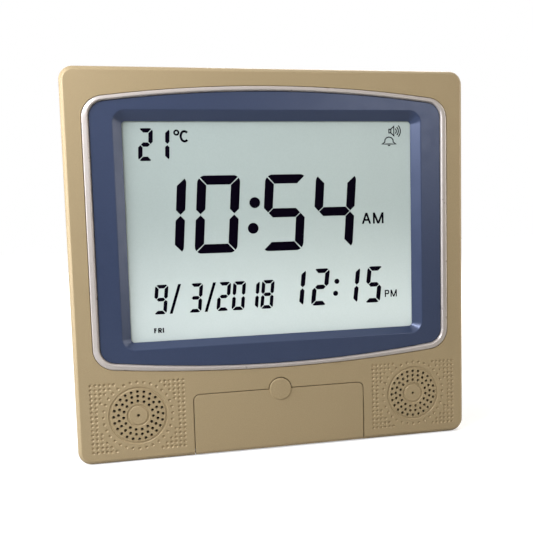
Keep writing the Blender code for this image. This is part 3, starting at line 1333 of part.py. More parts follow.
def build_battery_door():
    """The door tilts about its rounded lower edge."""
    half_z = BAY_HALF_HEIGHT + DOOR_OVERLAP
    nose = DOOR_THICKNESS / 2
    middle_depth = DOOR_DEPTH + nose
    low = BAY_Z - half_z + nose
    section = arc((middle_depth, low), nose, math.pi, 2 * math.pi, CORNER_STEPS)
    section += [(HOUSING_DEPTH, BAY_Z + half_z), (DOOR_DEPTH, BAY_Z + half_z)]
    door = side_sheet("battery_door", section, 2 * (BAY_HALF_LENGTH + DOOR_OVERLAP), BAY_X)
    axis = at(BAY_X, middle_depth, low)
    door.data.transform(Matrix.Translation(-axis) @ door.matrix_basis)
    door.matrix_basis = Matrix.Translation(axis)
    top = BAY_Z + half_z - DOOR_GRIP_PITCH
    grips = [box("grip", (DOOR_GRIP_WIDTH, 2 * DOOR_GRIP_DEPTH, DOOR_GRIP_HEIGHT),
                 at(BAY_X, HOUSING_DEPTH, top - number * DOOR_GRIP_PITCH))
             for number in range(DOOR_GRIP_COUNT)]
    cut(door, *grips)
    return coat(door, "black_plastic")


def cell_rows():
    """The height of each cell's axis, from the lowest up."""
    first = BAY_Z - CELL_PITCH * (CELL_COUNT - 1) / 2
    return [first + number * CELL_PITCH for number in range(CELL_COUNT)]


def build_cells():
    """Each cell lies across the clock, every second one the other way round."""
    length = CELL_LENGTH + CELL_NUB_LENGTH
    profile = [
        (0.0, length / 2), (CELL_NUB_RADIUS, length / 2), (CELL_NUB_RADIUS, length / 2 - CELL_NUB_LENGTH),
        (CELL_RADIUS - CELL_EDGE, length / 2 - CELL_NUB_LENGTH),
        (CELL_RADIUS, length / 2 - CELL_NUB_LENGTH - CELL_EDGE),
        (CELL_RADIUS, CELL_EDGE - length / 2), (CELL_RADIUS - CELL_EDGE, -length / 2), (0.0, -length / 2)]
    for number, z in enumerate(cell_rows(), start=1):
        cell = turned("battery_%d" % number, profile, 0.0, 0.0, ROD_SIDES)
        turn = math.pi / 2 if number % 2 else -math.pi / 2
        place = Matrix.Translation(at(BAY_X, CELL_DEPTH, z))
        cell.matrix_basis = place @ Matrix.Rotation(turn, 4, "Y")
        coat(cell, "cell_wrap")


def build_contact(name, side, rows):
    """A plate on an end wall of the bay with a bump for each cell that it meets."""
    wall = BAY_X + side * (BAY_HALF_LENGTH - FIT - CONTACT_THICKNESS / 2)
    low = min(rows) - CONTACT_WIDTH / 2
    high = max(rows) + CONTACT_WIDTH / 2
    plate = box(name, (CONTACT_THICKNESS, CONTACT_DEPTH, high - low),
                at(wall, CELL_DEPTH, (low + high) / 2))
    bump = CONTACT_BUMP_RISE + CONTACT_THICKNESS
    bumps = [rod("bump", CONTACT_BUMP_RADIUS, bump,
                 at(wall - side * bump / 2, CELL_DEPTH, z), ACROSS_TURN, POST_SIDES)
             for z in rows]
    join(plate, *bumps)
    return coat(plate, "tinned_steel")


def build_contacts():
    """The cells are joined in series, so the contacts zigzag between the ends."""
    low, middle, high = cell_rows()
    build_contact("battery_contact_plus", 1, [low])
    build_contact("battery_contact_link_left", -1, [low, middle])
    build_contact("battery_contact_link_right", 1, [middle, high])
    build_contact("battery_contact_minus", -1, [high])


def build_stand_leg():
    """A tapered plate with ribs on its inner side, turning about a steel pin."""
    axis = at(0.0, LEG_AXIS_DEPTH, LEG_AXIS_Z)
    outline = [(LEG_HALF_WIDTH, LEG_AXIS_Z), (-LEG_HALF_WIDTH, LEG_AXIS_Z),
               (-LEG_FOOT_HALF_WIDTH, LEG_FOOT_Z), (LEG_FOOT_HALF_WIDTH, LEG_FOOT_Z)]
    plate_front = LEG_BACK - LEG_PLATE
    leg = front_sheet("stand_leg", [outline], plate_front, LEG_BACK)
    leg.data.transform(Matrix.Translation(-axis) @ leg.matrix_basis)
    leg.matrix_basis = Matrix.Translation(axis)
    join(leg, rod("barrel", LEG_BARREL_RADIUS, 2 * LEG_HALF_WIDTH, axis, ACROSS_TURN, ROD_SIDES))
    length = LEG_AXIS_Z - LEG_FOOT_Z
    ribs = []
    for number in range(1, LEG_CROSS_RIBS + 1):
        z = LEG_AXIS_Z - length * number / LEG_CROSS_RIBS + LEG_RIB * number / LEG_CROSS_RIBS / 2
        half = LEG_FOOT_HALF_WIDTH - LEG_RIB / 2
        ribs.append(block("rib", (-half, plate_front - LEG_RIB_RISE, z - LEG_RIB / 2),
                          (half, LEG_BACK - LEG_PLATE / 2, z + LEG_RIB / 2)))
    join(leg, *ribs)
    cut(leg, rod("pin_bore", LEG_PIN_RADIUS + FIT, 2 * (LEG_HALF_WIDTH + OVERRUN), axis,
                 ACROSS_TURN, POST_SIDES))
    return coat(leg, "black_plastic")


def build_leg_pin():
    half = LEG_RECESS_HALF_WIDTH + LEG_PIN_SEAT
    pin = rod("leg_pin", LEG_PIN_RADIUS, 2 * half, at(0.0, LEG_AXIS_DEPTH, LEG_AXIS_Z),
              ACROSS_TURN, POST_SIDES)
    return coat(pin, "tinned_steel")


def build_dc_inlet():
    """A supply inlet with a centre pin, its nose set in a hole in the back."""
    front = INLET_BODY_BACK - INLET_LENGTH
    inlet = block("dc_inlet", (INLET_X - INLET_WIDTH / 2, front, INLET_Z - INLET_HEIGHT / 2),
                  (INLET_X + INLET_WIDTH / 2, INLET_BODY_BACK, INLET_Z + INLET_HEIGHT / 2))
    nose_end = INLET_BODY_BACK + INLET_NOSE_LENGTH
    join(inlet, bolt_hole("nose", INLET_NOSE_RADIUS, INLET_X, INLET_Z, INLET_BODY_BACK - OVERRUN,
                          nose_end, ROD_SIDES))
    bore_front = nose_end - INLET_BORE_DEPTH
    cut(inlet, bolt_hole("bore", INLET_BORE_RADIUS, INLET_X, INLET_Z, bore_front,
                         nose_end + OVERRUN, ROD_SIDES))
    join(inlet, bolt_hole("pin", INLET_PIN_RADIUS, INLET_X, INLET_Z, bore_front - OVERRUN,
                          bore_front + INLET_PIN_LENGTH, SCREW_SIDES))
    return coat(inlet, "black_plastic")


def build_clock():
    build_front_shell()
    build_bezel()
    build_trim_ring()
    build_segment_film()
    build_display_layers()
    build_contact_strips()
    build_lcd_frame()
    build_main_board()
    build_board_parts()
    build_flap_door()
    build_flap_pins()
    build_key_panel()
    build_keys()
    build_key_mat()
    build_key_board()
    build_key_ribbon()
    for side, x, _ in mirrored_places(SPEAKER_X, SPEAKER_Z):
        build_speaker(side, x)
    build_rear_cover()
    build_battery_door()
    build_cells()
    build_contacts()
    build_stand_leg()
    build_leg_pin()
    build_dc_inlet()
    build_screws()


build_clock()
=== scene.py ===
"""Fine shapes and finishes of a digital alarm clock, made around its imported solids.

X runs from left to right as the display is read, Y from front to back and Z up, in metres.
A depth is measured backwards from the gold front face. Colours are sRGB hex values.
"""
import math

import bmesh
import bpy
from mathutils import Matrix, Vector
from mathutils.geometry import delaunay_2d_cdt


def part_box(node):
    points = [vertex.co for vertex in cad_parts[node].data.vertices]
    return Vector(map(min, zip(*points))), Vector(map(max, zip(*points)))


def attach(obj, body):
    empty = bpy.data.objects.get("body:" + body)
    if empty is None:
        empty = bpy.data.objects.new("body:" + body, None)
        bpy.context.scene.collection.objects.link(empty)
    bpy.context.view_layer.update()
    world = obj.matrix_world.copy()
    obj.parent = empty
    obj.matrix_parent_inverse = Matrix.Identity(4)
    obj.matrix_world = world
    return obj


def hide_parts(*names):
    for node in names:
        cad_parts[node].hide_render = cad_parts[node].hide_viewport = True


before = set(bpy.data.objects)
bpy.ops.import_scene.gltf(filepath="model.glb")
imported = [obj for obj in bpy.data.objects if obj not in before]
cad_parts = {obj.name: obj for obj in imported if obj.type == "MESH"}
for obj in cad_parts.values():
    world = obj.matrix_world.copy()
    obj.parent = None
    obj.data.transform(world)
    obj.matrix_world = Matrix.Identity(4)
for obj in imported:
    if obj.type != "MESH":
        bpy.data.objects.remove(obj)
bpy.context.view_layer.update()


def middle_of(node):
    """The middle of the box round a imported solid."""
    low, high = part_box(node)
    return (low + high) / 2


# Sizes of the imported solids
SHELL_LOW, SHELL_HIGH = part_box("front_shell")
COVER_LOW, COVER_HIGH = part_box("rear_cover")
FRONT_Y = SHELL_LOW.y
HALF_WIDTH = SHELL_HIGH.x
HEIGHT = SHELL_HIGH.z
BACK = COVER_HIGH.y - FRONT_Y
POST_END = SHELL_HIGH.y - FRONT_Y
LIP_FRONT = COVER_LOW.y - FRONT_Y

# Clearances, walls and facets
FIT = 0.0003
OVERRUN = 0.001
WALL = 0.0022
COVER_WALL = 0.0028
CORNER_STEPS = 18
ARCH_STEPS = 64
FILLET_STEPS = 6
# Points nearer than these are one, the second after a cut, which leaves rounding errors
MERGE_DISTANCE = 0.000002
ROUNDING = 0.0000005
# What keeps a cut off a face, and the end of a stroke off its start
HAIR = 0.00001
# Edges that turn by more degrees are bevelled, or shaded sharp
BEVEL_TURN = 40
SHARP_TURN = 35

# Housing
CORNER_RADIUS = 0.009
FRONT_FILLET = 0.0032
CHAMFER_SHARE = 0.6
REAR_FILLET = 0.004
LIP_LENGTH = 0.0018
LIP_THICKNESS = 0.0013
SEAM = LIP_FRONT + LIP_LENGTH
SEAM_GAP = 0.0004
EDGE_BREAK = 0.0003

# Bezel, bead and recess
BEZEL_HALF_WIDTH = HALF_WIDTH - 0.0174
BEZEL_TOP = HEIGHT - 0.01505
BEZEL_BOTTOM = 0.0597
BEZEL_ARCH = 0.870
BEZEL_CORNER = 0.010
BEZEL_SET_BACK = 0.0003
BEZEL_FILLET = 0.0006
BEZEL_FLANGE = 0.0056
BEZEL_FLANGE_FRONT = 0.0025
BEZEL_BACK = 0.0043
RECESS_HALF_WIDTH = BEZEL_HALF_WIDTH - 0.0143
RECESS_TOP = BEZEL_TOP - 0.01245
RECESS_BOTTOM = BEZEL_BOTTOM + 0.0148
RECESS_CORNER = 0.008
RECESS_FILLET = 0.0012
SEAT_MARGIN = 0.004
WINDOW_HALF_WIDTH = RECESS_HALF_WIDTH - 0.0053
WINDOW_TOP = RECESS_TOP - 0.0063
WINDOW_BOTTOM = RECESS_BOTTOM + 0.0039
WINDOW_CORNER = 0.0025
WINDOW_DEPTH = 0.0054
SEAT_DEPTH = 0.0058
BEAD_SIDE_WIDTH = 0.0042
BEAD_TOP_WIDTH = 0.0028
BEAD_BOTTOM_WIDTH = 0.0025
OPENING_CORNER = 0.0138
OPENING_ARCH = 0.873
OPENING_LOWER_ARCH = 1.10
BEAD_RISE = 0.0011
BEAD_SHOULDER = 0.0008
BEAD_STEPS = 16
BEAD_CREST_SHARE = 0.28
BEAD_SLOPE_SHARE = 0.38
BEAD_GAP = 0.0001
BEAD_CREST_POWER = 0.7
BEAD_SLOPE_POWER = 8
BEAD_TURN = 60

# Display
FILM_DEPTH = SEAT_DEPTH + FIT
FILM_THICKNESS = 0.0003
FILM_MARGIN = 0.003
MARK_RISE = 0.00003
SEGMENT_GAP = 0.0007
CORNER_SHARE = 0.72
CORNER_START = 47

# Flap and the pocket behind it
FLAP_HALF_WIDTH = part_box("flap_door")[1].x
FLAP_TOP = 0.0417
FLAP_CORNER = 0.0040
FLAP_THICKNESS = 0.0022
FLAP_GAP = 0.0005
FLAP_REST = 0.0025
FLAP_FILLET = 0.0004
BARREL_RADIUS = 0.003
BARREL_DEPTH = BARREL_RADIUS
BARREL_Z = 0.0034
TAB_RADIUS = 0.0075
TAB_RISE = 0.0008
TAB_FILLET = 0.0007
PIN_RADIUS = 0.0006
PIN_OUTSIDE = 0.003
PIN_INSIDE = 0.004
POCKET_HALF_WIDTH = FLAP_HALF_WIDTH - 0.0018
POCKET_OUTER = FLAP_HALF_WIDTH + FLAP_GAP + 0.0022
POCKET_TOP = FLAP_TOP + 0.0029
POCKET_WALL = 0.0022
POCKET_DEPTH = 0.0092
BARREL_TOP = BARREL_Z + BARREL_RADIUS
NOTCH_RIM = 0.0015
NOTCH_BACK = FLAP_REST + 0.0018

# Speakers and grilles
SPEAKER_X = HALF_WIDTH - 0.0394
SPEAKER_Z = 0.0315
HOLE_RINGS = ((0.00960, 15), (0.01278, 21), (0.01590, 24))
HOLE_RADIUS = 0.00100
HOLE_SIDES = 14
GROOVES = (0.0184, 0.0067)
GROOVE_HALF_WIDTH = 0.0009
GROOVE_DEPTH = 0.0006
DIMPLE_PITCH = 0.00297
DIMPLE_COLUMNS = 21
DIMPLE_ROWS = 16
DIMPLE_CLEAR = 0.0255
DIMPLE_RING = 0.0223
DIMPLE_RING_COUNT = 32
DIMPLE_RADIUS = 0.00114
DIMPLE_DEPTH = 0.00075
DIMPLE_SIDES = 12
DISH_POWER = 1.6
GRILLE_SHIFT = 0.0003
GRILLE_DROP = 0.0003
FIELD_SHIFT = 0.0001
FIELD_DROP = 0.0006
SPEAKER_RADIUS = 0.020
SEAT_WALL = 0.0015
SEAT_HEIGHT = 0.0028

# Posts and case screws
POST_NAMES = ("lower_left", "lower_right", "middle_left", "middle_right", "upper_left",
              "upper_right")
POSTS = tuple((middle_of("case_screw_" + name).x, middle_of("case_screw_" + name).z)
              for name in POST_NAMES)
POST_RADIUS = 0.0030
POST_BORE = 0.0016
POST_BORE_LENGTH = 0.012
WELL_RADIUS = 0.0034
WELL_WALL = 0.0015
WELL_FRONT = POST_END + FIT
SCREW_SEAT = WELL_FRONT + 0.0020
SCREW_RADIUS = 0.0013
SCREW_HEAD_RADIUS = 0.00275
SCREW_HEAD_RISE = 0.0018
SCREW_HEAD_DROP_SHARE = 0.75
SCREW_REACH = 0.012
CROSS_WIDTH = 0.0007
CROSS_LENGTH = 0.0032
CROSS_DEPTH = 0.0011

# Key panel and keys
KEY_NAMES = ("mode", "set", "down", "up", "alarm", "volume")
PANEL_LOW, PANEL_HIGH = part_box("key_panel")
PANEL_DEPTH = PANEL_LOW.y - FRONT_Y
PANEL_THICKNESS = 0.0018
PANEL_RIM = 0.0040
KEY_CORNER = 0.0016
KEY_FILLET = 0.0005
KEY_FLANGE = 0.0008
KEY_FLANGE_DEPTH = PANEL_DEPTH + PANEL_THICKNESS + FIT
KEY_SCREW_RADIUS = 0.0009
KEY_SIGN = 0.0016

# Battery bay and door
BAY_LOW, BAY_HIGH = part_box("battery_door")
BAY_X = middle_of("battery_door").x
BAY_Z = middle_of("battery_door").z
DOOR_OVERLAP = 0.0022
DOOR_GAP = 0.0004
DOOR_THICKNESS = BAY_HIGH.y - BAY_LOW.y
DOOR_DEPTH = BACK - DOOR_THICKNESS
BAY_HALF_LENGTH = (BAY_HIGH.x - BAY_LOW.x) / 2 - DOOR_OVERLAP
BAY_HALF_HEIGHT = (BAY_HIGH.z - BAY_LOW.z) / 2 - DOOR_OVERLAP
BAY_WALL = 0.0030
BAY_PLATE = 0.0020
ARROW_HALF_WIDTH = 0.004
ARROW_DROP = 0.0125
ARROW_LENGTH = 0.005

# Cells, from the pip at one end to the sunk foot at the other
CELL_RADIUS = 0.0071
CELL_PIP = 0.0010
CELL_PIP_RADIUS = 0.0027
CELL_GROOVE = 0.0056
CELL_STEP = 0.0004
CELL_BAND = 0.0060
CELL_HEEL = 0.0005
CELL_FOOT = 0.0052
CELL_FOOT_DISH = 0.0002
CELL_DEPTH = DOOR_DEPTH - FIT - CELL_RADIUS
BAY_FLOOR = CELL_DEPTH - CELL_RADIUS - FIT

# Stand leg and its recess
LEG_LOW, LEG_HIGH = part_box("stand_leg")
LEG_HALF_WIDTH = LEG_HIGH.x
LEG_FOOT_HALF_WIDTH = 0.020
LEG_CORNER = 0.004
LEG_BACK = LEG_HIGH.y - FRONT_Y
LEG_PLATE = 0.0024
LEG_BARREL = 0.0020
LEG_AXIS_DEPTH = LEG_BACK - LEG_BARREL
LEG_AXIS_Z = LEG_HIGH.z - LEG_BARREL
LEG_FOOT_Z = LEG_LOW.z
LEG_PIN_RADIUS = 0.0010
LEG_PIN_SEAT = 0.0020
LEG_PANEL_MARGIN = 0.0035
LEG_PANEL_FOOT = 0.0190
LEG_PANEL_HEAD = 0.0060
LEG_GRIP_RISE = 0.0130
LEG_RECESS_DEPTH = BACK - 0.0050
LEG_RECESS_HALF_WIDTH = LEG_HALF_WIDTH + 0.0005
LEG_RECESS_BOTTOM = LEG_FOOT_Z - 0.0012
LEG_RECESS_TOP = LEG_AXIS_Z + LEG_BARREL + 0.0016
LEG_WALL = 0.0036
LEG_FLOOR = 0.0024
RIB_COUNT = 5
RIB_MARGIN = 0.0030
RIB_START = 0.0060
RIB_RISE = 0.0013
RIB_BURY = 0.0012
RIB_HALF_WIDTH = 0.0008
RIB_EDGE = 0.0002

# Grip grooves of the door and the leg
GRIP_COUNT = 3
GRIP_HALF_WIDTH = 0.008
GRIP_HALF_HEIGHT = 0.0006
GRIP_PITCH = 0.0024
GRIP_DEPTH = 0.0007

# Keyholes and vents
KEYHOLE_X = 0.050
KEYHOLE_Z = HEIGHT - 0.051
KEYHOLE_RADIUS = 0.0042
KEYHOLE_SLOT = 0.0021
KEYHOLE_RISE = 0.009
KEYHOLE_RIM = 0.0022
DISH_DEPTH = 0.0006
VENT_WIDTH = 0.0022
VENT_LENGTH = 0.018
VENT_PITCH = 0.0060
VENT_COUNT = 5
TOP_VENT_Z = HEIGHT - 0.030

# Supply inlet, its bore and its centre pin
INLET_LOW, INLET_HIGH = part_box("dc_inlet")
INLET_X = middle_of("dc_inlet").x
INLET_Z = middle_of("dc_inlet").z
INLET_END = INLET_HIGH.y - FRONT_Y
INLET_EDGE = 0.0004
INLET_NOSE = 0.0039
INLET_DISH = 0.0062
INLET_BORE = 0.0028
INLET_BORE_LENGTH = 0.009
INLET_PIN_RADIUS = 0.0010
INLET_PIN_LENGTH = 0.007
INLET_PIN_TIP = 0.0006
INLET_PIN_TAPER = 0.0005

# Label recess and border groove
LABEL_HALF_WIDTH = 0.034
LABEL_HALF_HEIGHT = 0.016
LABEL_Z = 0.170
LABEL_CORNER = 0.002
LABEL_DEPTH = 0.0005
BORDER_INSET = 0.0135
BORDER_WIDTH = 0.0011
BORDER_DEPTH = 0.0006

ORIGIN = Vector((0.0, 0.0, 0.0))
BACKWARDS = Matrix.Rotation(-math.pi / 2, 4, "X")
ACROSS = Matrix.Rotation(math.pi / 2, 4, "Y")


# Meshes

def place(x, depth, z):
    return Vector((x, FRONT_Y + depth, z))


def new_object(name, data):
    item = bpy.data.objects.new(name, data)
    bpy.context.scene.collection.objects.link(item)
    return item


def discard(*items):
    for item in items:
        bpy.data.objects.remove(item, do_unlink=True)


def from_shape(name, shape):
    """A new object from a bmesh, which is freed."""
    mesh = bpy.data.meshes.new(name)
    shape.to_mesh(mesh)
    shape.free()
    return new_object(name, mesh)


def add_mesh(name, vertices, faces):
    """A new object from points and faces, its faces turned outwards."""
    mesh = bpy.data.meshes.new(name)
    mesh.from_pydata(vertices, [], faces)
    return welded(new_object(name, mesh))


def welded(item, distance=MERGE_DISTANCE):
    """Merges what coincides, and turns the faces outwards."""
    shape = bmesh.new()
    shape.from_mesh(item.data)
    bmesh.ops.remove_doubles(shape, verts=shape.verts, dist=distance)
    bmesh.ops.recalc_face_normals(shape, faces=shape.faces)
    shape.to_mesh(item.data)
    shape.free()
    return item


def settled(item):
    """Turns the modifiers of an item, or its curve, into a plain mesh."""
    evaluated = item.evaluated_get(bpy.context.evaluated_depsgraph_get())
    mesh = bpy.data.meshes.new_from_object(evaluated)
    mesh.transform(item.matrix_world)
    name = item.name
    discard(item)
    return new_object(name, mesh)


def together(name, items):
    """Gathers separate meshes in one object."""
    shape = bmesh.new()
    for item in items:
        shape.from_mesh(item.data)
    discard(*items)
    return from_shape(name, shape)


def combined(target, tools, operation):
    tool = together("tool", tools)
    step = target.modifiers.new("shape", "BOOLEAN")
    step.operation = operation
    step.solver = "EXACT"
    step.object = tool
    result = settled(target)
    discard(tool)
    return result


def joined(target, *tools):
    return combined(target, tools, "UNION")


def cut(target, *tools):
    return combined(target, tools, "DIFFERENCE")


def bevelled(item, width):
    """Rounds every sharp edge."""
    bevel = item.modifiers.new("bevel", "BEVEL")
    bevel.width = width
    bevel.segments = 2
    bevel.limit_method = "ANGLE"
    bevel.angle_limit = math.radians(BEVEL_TURN)
    return settled(item)


def smoothed(item, turn=SHARP_TURN):
    """Smooth shading that leaves broad flat faces flat."""
    item.data.shade_smooth()
    item.data.set_sharp_from_angle(angle=math.radians(turn))
    weigh = item.modifiers.new("even_shading", "WEIGHTED_NORMAL")
    weigh.keep_sharp = True
    weigh.weight = 100
    return settled(item)


def loft(name, loops, closed=False):
    """A skin through outlines of equal length, each with its depth.

    It is closed on itself or else capped at both ends.
    """
    count = len(loops[0][0])
    vertices = [place(x, depth, z) for outline, depth in loops for x, z in outline]
    rows = len(loops)
    faces = []
    for row in range(rows if closed else rows - 1):
        this = row * count
        after = (row + 1) % rows * count
        for index in range(count):
            step = (index + 1) % count
            faces.append((this + index, this + step, after + step, after + index))
    if not closed:
        faces.append(tuple(range(count)))
        faces.append(tuple(range((rows - 1) * count, rows * count)))
    return add_mesh(name, vertices, faces)


def lathe(name, profile, centre, turn, sides):
    """A turned solid. Its profile is radius and place along the axis, from axis to axis."""
    vertices = []
    rings = []
    for radius, along in profile:
        start = len(vertices)
        points = 1 if radius == 0.0 else sides
        for index in range(points):
            angle = 2 * math.pi * index / sides
            vertices.append(Vector((radius * math.cos(angle), radius * math.sin(angle), along)))
        rings.append((start, points))
    faces = []
    for (start, points), (after, following) in zip(rings, rings[1:]):
        for index in range(sides):
            step = (index + 1) % sides
            face = {
                (1, sides): (start, after + index, after + step),
                (sides, 1): (start + index, start + step, after),
                (sides, sides): (start + index, start + step, after + step, after + index),
            }[(points, following)]
            faces.append(face)
    matrix = Matrix.Translation(centre) @ turn
    return add_mesh(name, [matrix @ point for point in vertices], faces)


def rod(radius, length, centre, turn, sides=32):
    profile = [(0.0, -length / 2), (radius, -length / 2), (radius, length / 2), (0.0, length / 2)]
    return lathe("rod", profile, centre, turn, sides)


def bore(radius, x, z, front, back, sides=32):
    """A rod that runs backwards from one depth to another."""
    return rod(radius, back - front, place(x, (front + back) / 2, z), BACKWARDS, sides)


def block(low, high):
    """A box by two opposite corners, each an x, a depth and a z."""
    outline = [(low[0], low[2]), (high[0], low[2]), (high[0], high[2]), (low[0], high[2])]
    return loft("block", [(outline, low[1]), (outline, high[1])])


def sheet(outlines, front, back, name="sheet"):
    """Outlines in X and Z from one depth to another, an inner outline being a hole."""
    curve = bpy.data.curves.new(name, "CURVE")
    curve.dimensions = "2D"
    curve.fill_mode = "BOTH"
    curve.extrude = (back - front) / 2
    for outline in outlines:
        spline = curve.splines.new("POLY")
        spline.points.add(len(outline) - 1)
        for point, (across, up) in zip(spline.points, outline):
            point.co = (across, up, 0.0, 1.0)
        spline.use_cyclic_u = True
    item = settled(new_object(name, curve))
    stand = Matrix.Rotation(math.pi / 2, 4, "X")
    item.data.transform(Matrix.Translation(place(0.0, (front + back) / 2, 0.0)) @ stand)
    return welded(item)


def plate(name, low, high, thickness, inserts):
    """A flat plate behind the front face, with open holes and dishes let into its faces.

    Each face is filled with triangles between its edge and the rims that lie in it.
    """
    shape = bmesh.new()
    for item in inserts:
        shape.from_mesh(item.data)
    discard(*inserts)
    around = [(low[0], low[1]), (high[0], low[1]), (high[0], high[1]), (low[0], high[1])]
    ends = []
    for depth in (0.0, thickness):
        level = FRONT_Y + depth
        rims = [edge for edge in shape.edges if edge.is_boundary
                and all(abs(point.co.y - level) < MERGE_DISTANCE for point in edge.verts)]
        corners = [shape.verts.new(place(x, depth, z)) for x, z in around]
        points = corners + list({point: 0 for edge in rims for point in edge.verts})
        number = {point: index for index, point in enumerate(points)}
        lines = [tuple(number[point] for point in edge.verts) for edge in rims]
        border = [(0, 1), (1, 2), (2, 3), (3, 0)]
        flat = [Vector((point.co.x, point.co.z)) for point in points]
        _, _, triangles, sources, _, _ = delaunay_2d_cdt(flat, lines + border, [], 0, 0.0, True)
        triangles = [tuple(sources[corner][0] for corner in triangle) for triangle in triangles]
        rims = {frozenset(line) for line in lines}
        for triangle in kept_triangles(triangles, rims, frozenset((0, 1))):
            shape.faces.new([points[corner] for corner in triangle])
        ends.append(corners)
    for index in range(4):
        step = (index + 1) % 4
        shape.faces.new((ends[0][index], ends[0][step], ends[1][step], ends[1][index]))
    return welded(from_shape(name, shape))


def kept_triangles(triangles, rims, first_side):
    """The triangles outside the rims, found by walking inwards from the edge of the plate."""
    sides = {}
    for number, triangle in enumerate(triangles):
        for index in range(3):
            sides.setdefault(frozenset((triangle[index], triangle[index - 1])), []).append(number)
    start = sides[first_side][0]
    outside = {start: True}
    waiting = [start]
    while waiting:
        number = waiting.pop()
        triangle = triangles[number]
        for index in range(3):
            side = frozenset((triangle[index], triangle[index - 1]))
            for other in sides[side]:
                if other not in outside:
                    outside[other] = outside[number] != (side in rims)
                    waiting.append(other)
    return [triangle for number, triangle in enumerate(triangles) if outside[number]]


def profile_bar(name, outline, left, right):
    """An outline in depth and Z that runs across the clock."""
    count = len(outline)
    vertices = [place(x, depth, z) for x in (left, right) for depth, z in outline]
    faces = [(index, (index + 1) % count, count + (index + 1) % count, count + index)
             for index in range(count)]
    faces += [tuple(range(count)), tuple(range(count, 2 * count))]
    return add_mesh(name, vertices, faces)


# Outlines

def arc(centre, radius, start, end, steps):
    """Points in X and Z on an arc from one angle to another."""
    angles = [start + (end - start) * step / steps for step in range(steps + 1)]
    return [(centre[0] + radius * math.cos(angle), centre[1] + radius * math.sin(angle))
            for angle in angles]


def half_outline(half_width, top, radius, arch):
    """Right corner, crown and left corner of an arched or a straight top."""
    span = half_width - radius
    if arch:
        rise = math.sqrt((arch - radius) ** 2 - span ** 2)
        lean = math.atan2(rise, span)
        corner = top - arch + rise
        crown = arc((0.0, top - arch), arch, lean, math.pi - lean, ARCH_STEPS)[1:-1]
    else:
        lean = math.pi / 2
        corner = top - radius
        crown = [(span - 2 * span * step / ARCH_STEPS, top) for step in range(1, ARCH_STEPS)]
    right = arc((span, corner), radius, 0.0, lean, CORNER_STEPS)
    left = arc((-span, corner), radius, math.pi - lean, math.pi, CORNER_STEPS)
    return right + crown + left


def framed(half_width, top, bottom, radius, arch=0.0, lower_arch=None):
    """A frame's outline, its top and bottom arched by a radius or straight."""
    upper = half_outline(half_width, top, radius, arch)
    lower = half_outline(half_width, -bottom, radius, lower_arch or arch)
    return upper + [(-x, -z) for x, z in lower]


def rounded(left, right, bottom, top, radius, steps=CORNER_STEPS):
    """A rectangle with rounded corners."""
    centres = ((right - radius, top - radius), (left + radius, top - radius),
               (left + radius, bottom + radius), (right - radius, bottom + radius))
    outline = []
    for quarter, centre in enumerate(centres):
        outline += arc(centre, radius, quarter * math.pi / 2, (quarter + 1) * math.pi / 2, steps)
    return outline


def housing_line(offset):
    """The housing's outline; here and below, an offset moves an outline outwards."""
    return rounded(-HALF_WIDTH - offset, HALF_WIDTH + offset, -offset, HEIGHT + offset,
                   max(CORNER_RADIUS + offset, EDGE_BREAK))


def bezel_line(offset):
    return framed(BEZEL_HALF_WIDTH + offset, BEZEL_TOP + offset, BEZEL_BOTTOM - offset,
                  BEZEL_CORNER + offset, BEZEL_ARCH + offset)


def opening_line(offset):
    """The opening of the gold shell round the bead."""
    offset += 2 * FIT
    return framed(BEZEL_HALF_WIDTH + BEAD_SIDE_WIDTH + offset, BEZEL_TOP + BEAD_TOP_WIDTH + offset,
                  BEZEL_BOTTOM - BEAD_BOTTOM_WIDTH - offset, OPENING_CORNER + offset,
                  OPENING_ARCH + offset, OPENING_LOWER_ARCH + offset)


def recess_line(offset):
    return framed(RECESS_HALF_WIDTH + offset, RECESS_TOP + offset, RECESS_BOTTOM - offset,
                  RECESS_CORNER + offset)


def window_line(offset):
    return framed(WINDOW_HALF_WIDTH + offset, WINDOW_TOP + offset, WINDOW_BOTTOM - offset,
                  WINDOW_CORNER + offset)


def flap_line(offset, bottom):
    half = FLAP_HALF_WIDTH + offset
    radius = FLAP_CORNER + offset
    top = FLAP_TOP + offset
    right = arc((half - radius, top - radius), radius, 0.0, math.pi / 2, CORNER_STEPS)
    left = arc((radius - half, top - radius), radius, math.pi / 2, math.pi, CORNER_STEPS)
    return right + left + [(-half, bottom), (half, bottom)]


def circle(x, z, radius, sides):
    return arc((x, z), radius, 0.0, 2 * math.pi, sides)[:-1]


def arrow_head(x, z, half_width, height):
    """A triangle on a level base, which points down where its height is negative."""
    return [(x - half_width, z), (x + half_width, z), (x, z + height)]


def fillet(radius, steps=FILLET_STEPS):
    """Inset and depth of points on a rounded edge, from the face to the side."""
    angles = [math.pi / 2 * step / steps for step in range(steps + 1)]
    return [(radius * (1 - math.sin(angle)), radius * (1 - math.cos(angle))) for angle in angles]


def soft_chamfer(size, steps=FILLET_STEPS):
    """The same for an edge that is part chamfer and part round."""
    straight = [(size * (1 - step / steps), size * step / steps) for step in range(steps + 1)]
    return [tuple(CHAMFER_SHARE * flat + (1 - CHAMFER_SHARE) * turned
                  for flat, turned in zip(chamfer, turn))
            for chamfer, turn in zip(straight, fillet(size, steps))]


# Node trees

def add(tree, kind, inputs=None, **settings):
    """Adds a node, sets it up and sets or links its inputs."""
    item = tree.nodes.new(kind)
    for name, value in settings.items():
        setattr(item, name, value)
    for name, value in (inputs or {}).items():
        socket = item.inputs[name]
        if isinstance(value, bpy.types.NodeSocket):
            tree.links.new(value, socket)
        else:
            socket.default_value = value
    return item


